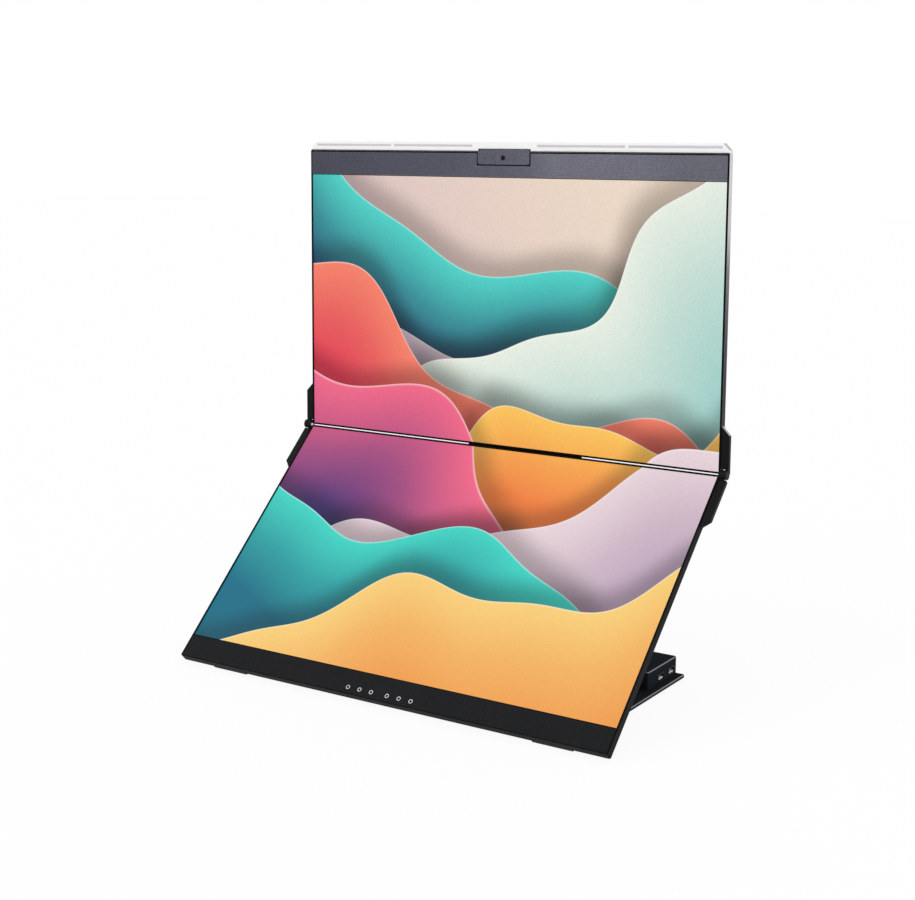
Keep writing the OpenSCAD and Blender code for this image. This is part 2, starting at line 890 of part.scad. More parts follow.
module stand_arm() {
    color(black_paint) place_arm() difference() {
        union() {
            bar_x(-barrel_half, barrel_half, barrel_r);
            translate([0, 0, arm_len]) bar_x(-barrel_half, barrel_half, barrel_r);
            slab(-arm_half_w, arm_half_w, -arm_t / 2, arm_t / 2, 0, arm_len);
        }
        bar_x(-barrel_half - cut, barrel_half + cut, stand_pin_r + pin_gap);
        translate([0, 0, arm_len])
            bar_x(-barrel_half - cut, barrel_half + cut, stand_pin_r + pin_gap);
    }
}

module arm_cover() {
    cover_half = arm_half_w - 8;
    color("#2a2b2f") place_arm()
        slab(-cover_half, cover_half, arm_t / 2, arm_t / 2 + 2, barrel_r + 6,
            arm_len - barrel_r - 6);
}

// Base

hub_half = hub_w / 2;
plate_half = plate_w / 2;
plate_y1 = hinge_y + plate_rear;
plate_y0 = plate_y1 - plate_d;
boss_h = 1.5;
hub_board_t = 1.6;
hub_board_half = hub_half - hub_wall - 1;
hub_board_y0 = hub_y0 + hub_wall + 1;
hub_board_y1 = hub_y1 - hub_wall - 1;
hub_board_z = plate_z + boss_h;
hub_boss_spots = [
    for (x = [-hub_board_half + 8, 0, hub_board_half - 30], y = [hub_board_y0 + 6]) [x, y]
];

module base_plate() {
    color("#0e0e10") union() {
        difference() {
            bevel_block(plate_half, plate_y0, plate_y1, feet_h, plate_z, plate_bevel);
            for (x = foot_bolt_x, y = foot_bolt_y)
                translate([x, y, feet_h - cut]) cylinder(r = bolt_r, h = plate_t + 2 * cut);
            for (spot = hub_screw_spots)
                translate([spot[0], spot[1], feet_h - cut])
                    cylinder(r = bolt_r + fit_gap, h = plate_t + 2 * cut);
        }
        for (spot = hub_boss_spots)
            translate([spot[0], spot[1], plate_z - 0.2]) cylinder(r = 3, h = boss_h + 0.2);
        for (x = [-hub_board_half + 8, 0, hub_board_half - 30])
            translate([x, hub_board_y1 - 20, plate_z - 0.2]) cylinder(r = 3, h = boss_h + 0.2);
    }
}

module base_feet() {
    foot_r = 8;
    color("#202022")
        for (x = [-plate_half + feet_inset, plate_half - feet_inset],
             y = [plate_y0 + feet_inset, (plate_y0 + plate_y1) / 2, plate_y1 - feet_inset])
            translate([x, y, 0]) cylinder(r = foot_r, h = feet_h);
}

foot_plate_rim = 10;
foot_plate_d = 30;
foot_bolt_inset = 6;
foot_bolt_mid = 20;
foot_plate_half = ear_0 + ear_t + foot_plate_rim;
foot_plate_y0 = foot_y - foot_plate_d;
foot_plate_y1 = foot_y + foot_ahead - 1;
foot_bolt_x = [-foot_plate_half + foot_bolt_inset, -foot_bolt_mid, foot_bolt_mid,
               foot_plate_half - foot_bolt_inset];
foot_bolt_y = [foot_plate_y0 + foot_bolt_inset + 1];

// Steel bracket on the base plate, with two ears for the foot hinge
module foot_bracket() {
    color(black_paint) difference() {
        union() {
            slab(-foot_plate_half, foot_plate_half, foot_plate_y0, foot_plate_y1, plate_z,
                plate_z + foot_sheet);
            for (x = [-ear_0 - ear_t, ear_0]) side_shape(x, x + ear_t) {
                translate([foot_y, foot_z]) circle(barrel_r);
                translate([foot_y - barrel_r, plate_z + 0.5])
                    square([2 * barrel_r, foot_z - plate_z - 0.5]);
            }
        }
        translate([0, foot_y, foot_z])
            bar_x(-foot_plate_half, foot_plate_half, stand_pin_r);
        for (x = foot_bolt_x, y = foot_bolt_y) translate([x, y, plate_z - cut])
            cylinder(r = bolt_r + fit_gap, h = foot_sheet + 2 * cut);
    }
}

module foot_bracket_screws() {
    color("#5c5f66") for (x = foot_bolt_x, y = foot_bolt_y) translate([x, y, 0]) {
        translate([0, 0, feet_h + 0.3])
            cylinder(r = bolt_r, h = plate_t + foot_sheet - 0.2);
        translate([0, 0, plate_z + foot_sheet]) cylinder(r = bolt_r + 1.8, h = 1.8);
    }
}

module foot_pin() {
    color(silver) translate([0, foot_y, foot_z])
        bar_x(-ear_0 - ear_t - 0.5, ear_0 + ear_t + 0.5, stand_pin_r);
}

module foot_washers() {
    color(red_copper) translate([0, foot_y, foot_z]) washers();
}

// Hub

usb_mid = hinge_y + 0.5;
usb_spots = [usb_mid - usb_pitch / 2, usb_mid + usb_pitch / 2];
usb_len = 14;
usb_half_y = 6.6;
usb_h = 6.6;
usb_z = hub_board_z + hub_board_t;
usb_shell = 0.4;
usb_tongue_t = 1.6;
power_x = -130;
video_x = -70;
network_x = -20;
power_r = 3.2;
power_wall = 0.6;
power_z = 6;
rear_socket_len = 12;
hub_screw_spots = [
    for (x = [-hub_half + 12, hub_half - 42]) [x, hub_y1 - 12]
];

module hub_shell() {
    hub_top = plate_z + hub_h;
    color("#0e0e10") difference() {
        union() {
            difference() {
                bevel_block(hub_half, hub_y0, hub_y1, plate_z, hub_top, plate_bevel);
                slab(-hub_half + hub_wall, hub_half - hub_wall, hub_y0 + hub_wall,
                    hub_y1 - hub_wall, plate_z - cut, hub_top - hub_wall);
            }
            for (spot = hub_screw_spots) translate([spot[0], spot[1], plate_z])
                cylinder(r = 4.5, h = hub_h - hub_wall + 0.5);
        }
        for (spot = hub_screw_spots) translate([spot[0], spot[1], plate_z - cut])
            cylinder(r = bolt_r, h = 8 + cut);
        for (y = usb_spots)
            slab(hub_half - hub_wall - cut, hub_half + cut, y - usb_half_y, y + usb_half_y,
                usb_z, usb_z + usb_h);
        translate([power_x, 0, usb_z + power_z]) bar_y(hub_y1 - hub_wall - cut, hub_y1 + cut,
            power_r + power_wall + fit_gap);
        slab(video_x - 7.6, video_x + 7.6, hub_y1 - hub_wall - cut, hub_y1 + cut,
            usb_z, usb_z + 6);
        slab(network_x - 8, network_x + 8, hub_y1 - hub_wall - cut, hub_y1 + cut,
            usb_z, usb_z + 11);
    }
}

module hub_board() {
    color("#1f5c3a") difference() {
        slab(-hub_board_half, hub_board_half, hub_board_y0, hub_board_y1, hub_board_z,
            hub_board_z + hub_board_t);
        for (spot = hub_screw_spots) translate([spot[0], spot[1], plate_z])
            cylinder(r = 5, h = hub_h);
    }
}

// A metal socket shell, open at its outer end, along +x
module socket_shell(len, half_y, h, wall) {
    difference() {
        slab(-len, 0, -half_y, half_y, 0, h);
        slab(-len + 1.5, cut, -half_y + wall, half_y - wall, wall, h - wall);
    }
}

module usb_sockets() {
    color("#c0c3c8") for (y = usb_spots) translate([hub_half, y, usb_z])
        socket_shell(usb_len, usb_half_y, usb_h, usb_shell);
}

module usb_tongues() {
    color("white") for (y = usb_spots) translate([hub_half, y, usb_z + usb_shell])
        slab(-usb_len + 1.5, -1, -usb_half_y + 1.6, usb_half_y - 1.6, 0, usb_tongue_t);
}

module power_inlet() {
    color("#1b1b1d") translate([power_x, hub_y1, usb_z + power_z]) union() {
        difference() {
            union() {
                bar_y(-hub_wall - cut, 0, power_r + power_wall);
                slab(-5.5, 5.5, -rear_socket_len, -hub_wall, -power_z, 5.5);
            }
            bar_y(-rear_socket_len + 1.5, cut, power_r);
        }
        bar_y(-rear_socket_len + 1, -1, 0.9);
    }
}

module video_socket() {
    color("#c0c3c8") translate([video_x, hub_y1, usb_z]) rotate([0, 0, 90])
        socket_shell(rear_socket_len, 7.5, 5.9, 0.5);
}

module network_socket() {
    color("#c0c3c8") translate([network_x, hub_y1, usb_z]) rotate([0, 0, 90])
        socket_shell(rear_socket_len + 3, 7.9, 10.9, 0.8);
}

module hub_screws() {
    color("#5c5f66") for (spot = hub_screw_spots) translate([spot[0], spot[1], 0]) {
        translate([0, 0, feet_h + 0.2]) cylinder(r = bolt_r, h = plate_t + 7);
    }
}

upper_front_frame();
brow_strip();
upper_lcd_panel();
upper_light_guide();
upper_led_bar();
upper_backlight_tray();
upper_rear_cover();
top_rail();
webcam_housing();
webcam_lens();
webcam_board();
upper_driver_board();
upper_hinge_bracket_left();
upper_hinge_bracket_right();
bridge_cover();
upper_cover_screws();
upper_bracket_rivets();
lower_front_frame();
chin_cover();
touch_key_rings();
touch_key_board();
lower_lcd_panel();
lower_light_guide();
lower_led_bar();
lower_backlight_tray();
lower_rear_cover();
lower_main_board();
lower_power_board();
speaker_left();
speaker_right();
lower_hinge_bracket_left();
lower_hinge_bracket_right();
hinge_pin_left();
hinge_pin_right();
hinge_spring_washers();
lower_cover_screws();
lower_bracket_rivets();
tilt_bracket();
tilt_bracket_screws();
tilt_pin();
tilt_washers();
chin_pads();
stand_arm();
arm_cover();
base_plate();
base_feet();
foot_bracket();
foot_bracket_screws();
foot_pin();
foot_washers();
hub_shell();
hub_board();
usb_sockets();
usb_tongues();
power_inlet();
video_socket();
network_socket();
hub_screws();
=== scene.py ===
# %% [markdown]
# # A dual stacked monitor
# Two flat screens are hinged to each other at their meeting edge. The lower one leans back over a
# base plate with a connection hub, the upper one stands upright under a camera strip and a rail.
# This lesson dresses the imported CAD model: each cell makes one kind of piece or one finish.

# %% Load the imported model
import json
import math
import bpy
import numpy as np
from mathutils import Matrix, Vector


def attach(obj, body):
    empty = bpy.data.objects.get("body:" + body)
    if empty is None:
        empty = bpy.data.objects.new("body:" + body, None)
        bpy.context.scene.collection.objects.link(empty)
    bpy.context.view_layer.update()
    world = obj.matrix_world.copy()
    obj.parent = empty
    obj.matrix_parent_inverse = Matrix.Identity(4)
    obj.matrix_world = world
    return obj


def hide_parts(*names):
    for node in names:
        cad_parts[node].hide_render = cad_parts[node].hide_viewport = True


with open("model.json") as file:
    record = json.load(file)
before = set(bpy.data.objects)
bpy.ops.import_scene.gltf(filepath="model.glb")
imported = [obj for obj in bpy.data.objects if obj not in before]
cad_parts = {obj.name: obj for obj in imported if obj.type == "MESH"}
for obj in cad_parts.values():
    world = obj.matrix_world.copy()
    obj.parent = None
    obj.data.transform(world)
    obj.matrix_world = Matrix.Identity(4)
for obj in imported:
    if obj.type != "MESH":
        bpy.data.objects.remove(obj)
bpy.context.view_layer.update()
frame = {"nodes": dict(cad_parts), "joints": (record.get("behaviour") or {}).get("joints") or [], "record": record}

# %% [markdown]
# ## Where things are
# The CAD model is in metres, with x to the right, y away from the viewer and z up. It is easier to
# think of one display lying in its own frame: x along the hinge, y from the glass to the back and
# z away from the hinge, in millimetres. Two small functions put such points into the real frame.

# %% The two displays' own frames
MM = 0.001
fold = next(joint for joint in frame["joints"] if joint["name"] == "screen_hinge")
HINGE = np.array(fold["pos_m"]) / MM
LEAN = math.radians(-fold["range_deg"][0])


def mirrored(points):
    """Lower display's own directions to the real ones. It is a mirror, so it also leads back."""
    x, y, z = points.T
    return np.stack([x, y * math.cos(LEAN) - z * math.sin(LEAN),
                     -y * math.sin(LEAN) - z * math.cos(LEAN)], axis=1)


def upright(points):
    """Upper display: its own frame, moved up to the hinge."""
    return points + HINGE


def leaning(points):
    """Lower display: z runs down and forward by the lean."""
    return mirrored(points) + HINGE


def on_desk(points):
    """Pieces of the base are already in the real frame."""
    return points


print("screen hinge at", HINGE.round(2), "mm, lean", round(math.degrees(LEAN), 1), "degrees")

# %% [markdown]
# No size is typed twice: a new piece takes its outer size and place from the CAD node that it
# stands for, by reading the node's corners in the display's own frame. Only what these can't tell,
# such as walls, slots and radii, is a named number in the cell that needs it.

# %% Measuring a CAD node
def own_box(node, place=on_desk):
    """Lowest and highest corner of a node in its own frame, in mm."""
    points = np.array([corner.co for corner in frame["nodes"][node].data.vertices]) / MM
    if place is not on_desk:
        points = points - HINGE
    if place is leaning:
        points = mirrored(points)
    return points.min(axis=0).round(3), points.max(axis=0).round(3)


def span(low, high):
    """Two corners as a box (x0, x1, y0, y1, z0, z1)."""
    return tuple(value for pair in zip(low, high) for value in pair)


def grown(box, *more):
    """A box with each of its six sides moved, by what is added to it."""
    return tuple(value + extra for value, extra in zip(box, more))


print("upper rear cover, mm:", *own_box("upper_rear_cover", upright))

# %% [markdown]
# ## Surfaces from numbers
# Housings are boxes with openings, so they are worked out on a lattice: every edge of every box
# gives a line, each cell between lines is filled or empty, and a face stands wherever a filled
# cell meets an empty one. That is exact, closed everywhere and needs no boolean modifier, which
# can leave thin scraps. The lattice is then bent, which rounds its corners.

# %% A lattice of boxes
def lattice(boxes, cuts=(), lines=((), (), ())):
    """Points and squares of a solid made of boxes (x0, x1, y0, y1, z0, z1) less the cuts.
    A face stands between cells whose filling differs, with its corners taken so that it looks
    towards the empty side."""
    ends = np.array([*boxes, *cuts], float)
    grid = [np.unique(np.round([*ends[:, 2 * a], *ends[:, 2 * a + 1], *lines[a]], 4))
            for a in range(3)]
    middle = np.meshgrid(*[(g[1:] + g[:-1]) / 2 for g in grid], indexing="ij")
    filled = np.zeros(middle[0].shape, bool)
    for box, solid in [(b, True) for b in boxes] + [(b, False) for b in cuts]:
        inside = [(middle[a] > box[2 * a]) & (middle[a] < box[2 * a + 1]) for a in range(3)]
        filled[inside[0] & inside[1] & inside[2]] = solid
    index = np.arange(np.prod([len(g) for g in grid])).reshape([len(g) for g in grid])
    faces = []
    for a in range(3):
        order = (a, (a + 1) % 3, (a + 2) % 3)
        node, cell = index.transpose(order), np.pad(filled, 1).transpose(order)[:, 1:-1, 1:-1]
        step = cell[1:].astype(int) - cell[:-1]
        square = np.stack([node[:, :-1, :-1], node[:, 1:, :-1], node[:, 1:, 1:],
                           node[:, :-1, 1:]], axis=-1)
        faces += [square[step < 0], square[step > 0][:, ::-1]]
    faces = np.concatenate(faces)
    used, faces = np.unique(faces, return_inverse=True)
    points = np.stack(np.meshgrid(*grid, indexing="ij"), axis=-1).reshape(-1, 3)[used]
    return points, faces.reshape(-1, 4)


STEPS = 3  # squares in each eighth of a turn


def arc_lines(wall, inward, radius):
    """Lines near a wall that even angles need: radius times (1 - tan(angle)) inside the wall."""
    angle = np.linspace(0, math.pi / 4, STEPS + 1)[:-1]
    return list(wall + inward * radius * (1 - np.tan(angle)))


def box_lines(low, high, *radii):
    """The lines that rounding both ends of a span needs, by one radius or several."""
    return [line for radius in radii
            for line in arc_lines(low, 1, radius) + arc_lines(high, -1, radius)]


def soft_lines(low, high, corner, edge, depth):
    """The lines along all three axes for a box that `soften` rounds with the same numbers."""
    return [box_lines(low[a], high[a], *([edge] if a == depth else [corner, edge]))
            for a in range(3)]


points, faces = lattice([(0, 2, 0, 1, 0, 1)], [(0, 1, 0, 1, 0, 0.5)])
print("a notched test box has", len(points), "points and", len(faces), "faces")

# %% [markdown]
# Rounding works on how far a point lies outside the box's core. Its largest component says on
# which square shell the point is, and dividing by its true length puts the shell on a circle.

# %% Rounding corners, edges and holes
def soften(points, low, high, corner, edge, depth):
    """Rounds a box in two steps: `edge` where its outline meets its two faces, then `corner`
    round the outline. New offset = old offset x largest component / length."""
    low, high, out = np.array(low, float), np.array(high, float), np.array(points, float)
    flat = [a for a in range(3) if a != depth]
    core = np.clip(out, low + edge, high - edge)
    off = out - core
    shell, rise = np.abs(off[:, flat]).max(axis=1), off[:, depth]
    length = np.maximum(np.hypot(shell, rise), 1e-9)
    out = core + off * np.where(shell * np.abs(rise) > 0,
                                np.maximum(shell, np.abs(rise)) / length, 1)[:, None]
    core = np.clip(out[:, flat], low[flat] + corner, high[flat] - corner)
    off = out[:, flat] - core
    length = np.maximum(np.linalg.norm(off, axis=1), 1e-9)
    out[:, flat] = core + off * (np.abs(off).max(axis=1) / length)[:, None]
    return out


def round_hole(points, centre, radius, reach):
    """Makes a square hole round: each square shell about its centre goes to a circle, fully at
    the hole's edge and less and less as far as `reach` from the centre."""
    out, flat = np.array(points, float), [0, 2]
    off = out[:, flat] - centre
    shell, length = np.abs(off).max(axis=1), np.linalg.norm(off, axis=1)
    share = np.clip((reach - shell) / (reach - radius), 0, 1)
    factor = 1 + share * (shell / np.maximum(length, 1e-9) - 1)
    out[:, flat] = centre + off * factor[:, None]
    return out


def hole_lines(centre, radius):
    """Lines through a hole that make its rim a circle of even steps."""
    return list(centre + radius * np.tan(np.linspace(-math.pi / 4, math.pi / 4, 2 * STEPS + 1)))


print("hole lines round 0:", np.round(hole_lines(0, 1), 2))

# %% [markdown]
# Turned parts, such as lenses and screw heads, are a profile carried round an axis. Screwing or
# spinning an edge in Blender does the same, but may turn the faces inside out. Here a loft joins a
# row of rings into one grid that closes on itself.

# %% Rings and lofts
def loft(rings):
    """Squares between neighbouring rings, and one face over each end."""
    rows, count = rings.shape[:2]
    index = np.arange(rows * count).reshape(rows, count)
    beside = np.roll(index, -1, axis=1)
    walls = np.stack([index[:-1], beside[:-1], beside[1:], index[1:]], axis=-1)
    faces = walls.reshape(-1, 4).tolist() + [index[0][::-1].tolist(), index[-1].tolist()]
    return rings.reshape(-1, 3), faces


def turned(profile, centre, count=32, sides=0):
    """A profile of (radius, y) turned about a line along y: x = r cos t, z = -r sin t.
    A negative radius stands for a socket with that many `sides` instead of a circle."""
    t = np.arange(count) * 2 * math.pi / count
    profile = np.array(profile, float)
    flat = math.pi / sides if sides else 1
    polygon = math.cos(flat) / np.cos((t + flat) % (2 * flat) - flat) if sides else 1 + 0 * t
    radius = np.where(profile[:, :1] < 0, -profile[:, :1] * polygon, profile[:, :1] + 0 * t)
    rings = np.stack([radius * np.cos(t), profile[:, 1:] + 0 * t, -radius * np.sin(t)], axis=-1)
    return loft(rings + np.array(centre))


def together(shapes):
    """Several shapes as one: the faces of each count on from the points before it."""
    starts = np.cumsum([0] + [len(p) for p, f in shapes[:-1]])
    faces = [[i + s for i in face] for s, (p, f) in zip(starts, shapes) for face in f]
    return np.concatenate([p for p, f in shapes]), faces


print("a turned disc has", len(turned([(0.1, 0), (2, 0), (2, 1), (0.1, 1)], (0, 0, 0))[1]), "faces")

# %% [markdown]
# One function makes the Blender object: it places the points, turns the faces round where the
# lower display mirrors them, puts the piece on its body and hides the nodes it replaces.
# Real edges are never sharp, so a narrow bevel finishes them and catches the light.

# %% From points to a piece
def in_scene(name, data):
    """A new object with this mesh, lamp or camera, linked to the scene."""
    made = bpy.data.objects.new(name, data)
    bpy.context.scene.collection.objects.link(made)
    return made


def piece(name, shape, place, body, slot, nodes, bevel=0.0, smooth=30):
    """A mesh object in metres from points in millimetres, with the finish of its slot, `bevel` mm
    on its sharp edges, and edges flatter than `smooth` degrees shaded as one surface."""
    points, faces = shape
    faces = [list(map(int, face)) for face in faces]
    if place is leaning:
        faces = [face[::-1] for face in faces]
    mesh = bpy.data.meshes.new(name)
    mesh.from_pydata((place(np.asarray(points, float)) * MM).tolist(), [], faces)
    mesh.shade_smooth()
    mesh.set_sharp_from_angle(angle=math.radians(smooth))
    mesh.materials.append(FINISH[slot])
    made = in_scene(name, mesh)
    if bevel:
        ease_edges(made, bevel)
    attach(made, body)
    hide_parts(*nodes)
    print(f"{name}: {len(points)} points, {len(faces)} faces, rides on {body}")


def ease_edges(made, width, weld=False):
    """A narrow rounded bevel on edges sharper than 35 degrees, with flat faces kept flat. `weld`
    first joins loose triangles and merges those of one flat face."""
    if weld:
        made.modifiers.new("weld", "WELD").merge_threshold = 1e-6
        made.modifiers.new("flat faces", "DECIMATE").decimate_type = "DISSOLVE"
        made.modifiers["flat faces"].angle_limit = math.radians(1)
    ease = made.modifiers.new("eased edges", "BEVEL")
    ease.width = width * MM
    ease.segments = 2
    ease.limit_method = "ANGLE"
    ease.angle_limit = math.radians(35)
    ease.use_clamp_overlap = False
    made.modifiers.new("flat shading", "WEIGHTED_NORMAL").keep_sharp = True


# %% [markdown]
# ## Finishes
# Every finish starts from what the real surface is. Most here are one of two kinds: a plastic or
# paint with a moulded or sprayed grain, or a metal with a worked grain. Both are a slow mottling of
# two near colours, a fine grain in the roughness and the same grain as a shallow relief.

# %% Colours and nodes
def linear(colour):
    """An sRGB hex colour as the linear values that Blender mixes light with."""
    c = np.array([int(colour[i:i + 2], 16) / 255 for i in (1, 3, 5)])
    return (*np.where(c <= 0.04045, c / 12.92, ((c + 0.055) / 1.055) ** 2.4), 1.0)


def add(tree, kind, inputs, out=None, **settings):
    """Adds a node with its settings, sets or links its inputs, and returns one of its outputs."""
    made = tree.nodes.new("ShaderNode" + kind)
    for name, value in settings.items():
        setattr(made, name, value)
    for name, value in inputs.items():
        socket = made.inputs[name]
        if isinstance(value, bpy.types.NodeSocket):
            tree.links.new(value, socket)
        else:
            socket.default_value = value
    return made.outputs[out or 0] if made.outputs else made


def blank_tree(owner):
    """The emptied node tree of a material or a world."""
    owner.use_nodes = True
    owner.node_tree.nodes.clear()
    return owner.node_tree


def surface(name, dark, light, rough, grain, relief, metal=0.0, specular=0.5, patch=40.0,
            contrast=0.35, spread=0.08, layer=None):
    """A finish in Object coordinates. `grain` and `patch` are the sizes of the grain and of the
    slow mottling in mm, `contrast` is the grain's share in the colour, `relief` its height in mm,
    `spread` how far the roughness swings, and `layer` is a function that changes the colour along
    the piece: painted reflections, highlights and shade, and the rail's duller cut ends."""
    made = bpy.data.materials.new(name)
    tree = blank_tree(made)
    place = add(tree, "TexCoord", {}, "Object")
    fine = add(tree, "TexNoise", {"Vector": place, "Scale": 1 / (grain * MM), "Detail": 2.0,
                                  "Roughness": 0.6})
    slow = add(tree, "TexNoise", {"Vector": place, "Scale": 1 / (patch * MM), "Detail": 3.0})
    both = add(tree, "Mix", {0: contrast, 2: slow, 3: fine}, data_type="FLOAT")
    tone = add(tree, "ValToRGB", {"Fac": both})
    ramp = tone.node.color_ramp
    ramp.elements[0].position, ramp.elements[1].position = 0.3, 0.7
    ramp.elements[0].color, ramp.elements[1].color = linear(dark), linear(light)
    colour = layer(tree, tone) if layer else tone
    sheen = add(tree, "MapRange", {"Value": fine, "From Min": 0.3, "From Max": 0.7,
                                   "To Min": rough - spread, "To Max": rough + spread})
    bump = add(tree, "Bump", {"Height": fine, "Distance": relief * MM, "Strength": 1.0})
    shader = add(tree, "BsdfPrincipled", {"Base Color": colour, "Roughness": sheen, "Normal": bump,
                                          "Metallic": metal, "Specular IOR Level": specular})
    add(tree, "OutputMaterial", {"Surface": shader})
    return made


print("mid grey #808080 is", round(linear("#808080")[0], 3), "in linear light")

# %% [markdown]
# Some finishes change along their piece. The strip and the upper cover's side walls carry painted
# reflections along their length, the brackets' slanted ends and the base's round edges carry painted
# highlights, the rail's slot floors carry painted shade, and the rail's cut ends are a duller grey.
# Each is one more layer of colour, placed by the Object position or by the direction in which the
# surface faces.

# %% Colour by place and by direction
def along(tree, axis, stops):
    """Colour by Object position: `stops` are (mm, hex) along an axis, in rising order."""
    place = add(tree, "SeparateXYZ", {"Vector": add(tree, "TexCoord", {}, "Object")}, axis)
    first, last = stops[0][0] * MM, stops[-1][0] * MM
    run = add(tree, "MapRange", {"Value": place, "From Min": first, "From Max": last})
    tone = add(tree, "ValToRGB", {"Fac": run})
    ramp = tone.node.color_ramp
    ramp.elements[0].color, ramp.elements[1].color = linear(stops[0][1]), linear(stops[-1][1])
    for spot, colour in stops[1:-1]:
        ramp.elements.new((spot * MM - first) / (last - first)).color = linear(colour)
    return tone


def facing(tree, direction, low, high):
    """0 to 1 as the cosine |surface direction . given direction| goes from `low` to `high`."""
    normal = add(tree, "TexCoord", {}, "Normal")
    match = add(tree, "VectorMath", {0: normal, 1: direction}, "Value", operation="DOT_PRODUCT")
    match = add(tree, "Math", {0: match}, operation="ABSOLUTE")
    return add(tree, "MapRange", {"Value": match, "From Min": low, "From Max": high})


print("a face turned 30 degrees away has the cosine", round(math.cos(math.radians(30)), 2))

# %% Painted reflections, highlights and shade, and the rail's cut ends
SLANT = (0.72, 0.69)
# The first and last colours are painted highlights, on slanted bracket ends and on round coat edges; the middle
# one is the duller grey of the rail's cut ends.
END_HIGHLIGHT, MILLED_END, EDGE_HIGHLIGHT = "#a2a4a8", "#a9a5a8", "#8f8f93"
# Painted reflections: the strip's colours along x lighten it towards the right, the side walls' colours up z
# lighten them towards the top.
STRIP_PAINTED_REFLECTION = ((-264, "#a6a6b2"), (-120, "#b4b4c1"), (30, "#cfcfd8"), (60, "#f4f4fa"),
             (170, "#f1f1f8"), (264, "#dcdce2"))
WALL_PAINTED_REFLECTION = ((300, "#1a1a1c"), (318, "#1e1e20"), (360, "#333235"), (402, "#525054"),
            (444, "#7b7a7f"), (484, "#c3c2c6"), (524, "#d0cfd3"))
rail_face = HINGE[1] + own_box("top_rail", upright)[0][1]
# Painted shade: the slot floors, just behind the rail's face, are darkened to a pinkish grey.
SLOT_SHADE = ((rail_face + 0.3, "#f8f8f9"), (rail_face + 0.9, "#d6cfd3"),
              (rail_face + 1.6, "#d6cfd3"), (rail_face + 2.4, "#f8f8f9"))


def strip_painted_reflection(tree, tone):
    """Painted reflection: the strip is darker towards the left end and lighter towards the right, the grain times
    the colour along x.
    """
    painted_reflection = along(tree, "X", STRIP_PAINTED_REFLECTION)
    return add(tree, "Mix", {0: 1.0, 6: tone, 7: painted_reflection}, 2, data_type="RGBA", blend_type="MULTIPLY")


def wall_painted_reflection(tree, tone):
    """Painted reflection on the upper cover's dark side walls, which lightens them towards the top; its back stays
    silver.
    """
    wall = facing(tree, (1, 0, 0), 0.6, 0.85)
    painted_reflection = along(tree, "Z", WALL_PAINTED_REFLECTION)
    return add(tree, "Mix", {0: wall, 6: tone, 7: painted_reflection}, 2, data_type="RGBA")


def slanted(tree):
    """1 on ends cut at about 45 degrees, on either side of the object: the greater of the two."""
    sides = [facing(tree, (side * SLANT[0], 0, SLANT[1]), 0.975, 0.99) for side in (-1, 1)]
    return add(tree, "Math", {0: sides[0], 1: sides[1]}, operation="MAXIMUM")


def painted_end_highlight(tree, tone):
    """Painted highlight: the slanted ends of the hinge brackets, and bevels at the same slant, are lightened to a
    steel grey.
    """
    return add(tree, "Mix", {0: slanted(tree), 6: tone, 7: linear(END_HIGHLIGHT)}, 2,
               data_type="RGBA")


def painted_slot_shade_and_milled_ends(tree, tone):
    """Painted shade darkens the slot floors just behind the rail's face; the slanted cut ends of the rail are a
    duller grey.
    """
    floor = along(tree, "Y", SLOT_SHADE)
    tone = add(tree, "Mix", {0: facing(tree, (0, 1, 0), 0.9, 0.98), 6: tone, 7: floor}, 2,
               data_type="RGBA")
    return add(tree, "Mix", {0: slanted(tree), 6: tone, 7: linear(MILLED_END)}, 2,
               data_type="RGBA")


def painted_edge_highlight(tree, tone):
    """Painted highlight: surfaces between upright and level, on the rounded edges, are paler."""
    upright_part = facing(tree, (0, 0, 1), 0.02, 0.25)
    level_part = facing(tree, (0, 0, 1), 0.995, 0.93)
    edge = add(tree, "Math", {0: upright_part, 1: level_part}, operation="MULTIPLY")
    return add(tree, "Mix", {0: edge, 6: tone, 7: linear(EDGE_HIGHLIGHT)}, 2, data_type="RGBA")


print("layers: strip painted reflection", len(STRIP_PAINTED_REFLECTION), "stops, wall painted reflection", len(WALL_PAINTED_REFLECTION), "stops")

# %% [markdown]
# The housings are moulded ABS, coated steel and anodised aluminium. They could each be one flat
# colour, but a real mould or blasting leaves a grain of about a quarter of a millimetre, drawn here
# two to six times coarser so that it shows. A colour is written a little darker than it looks,
# because gloss adds light to it, and the blacks have a low specular level, which keeps them deep.

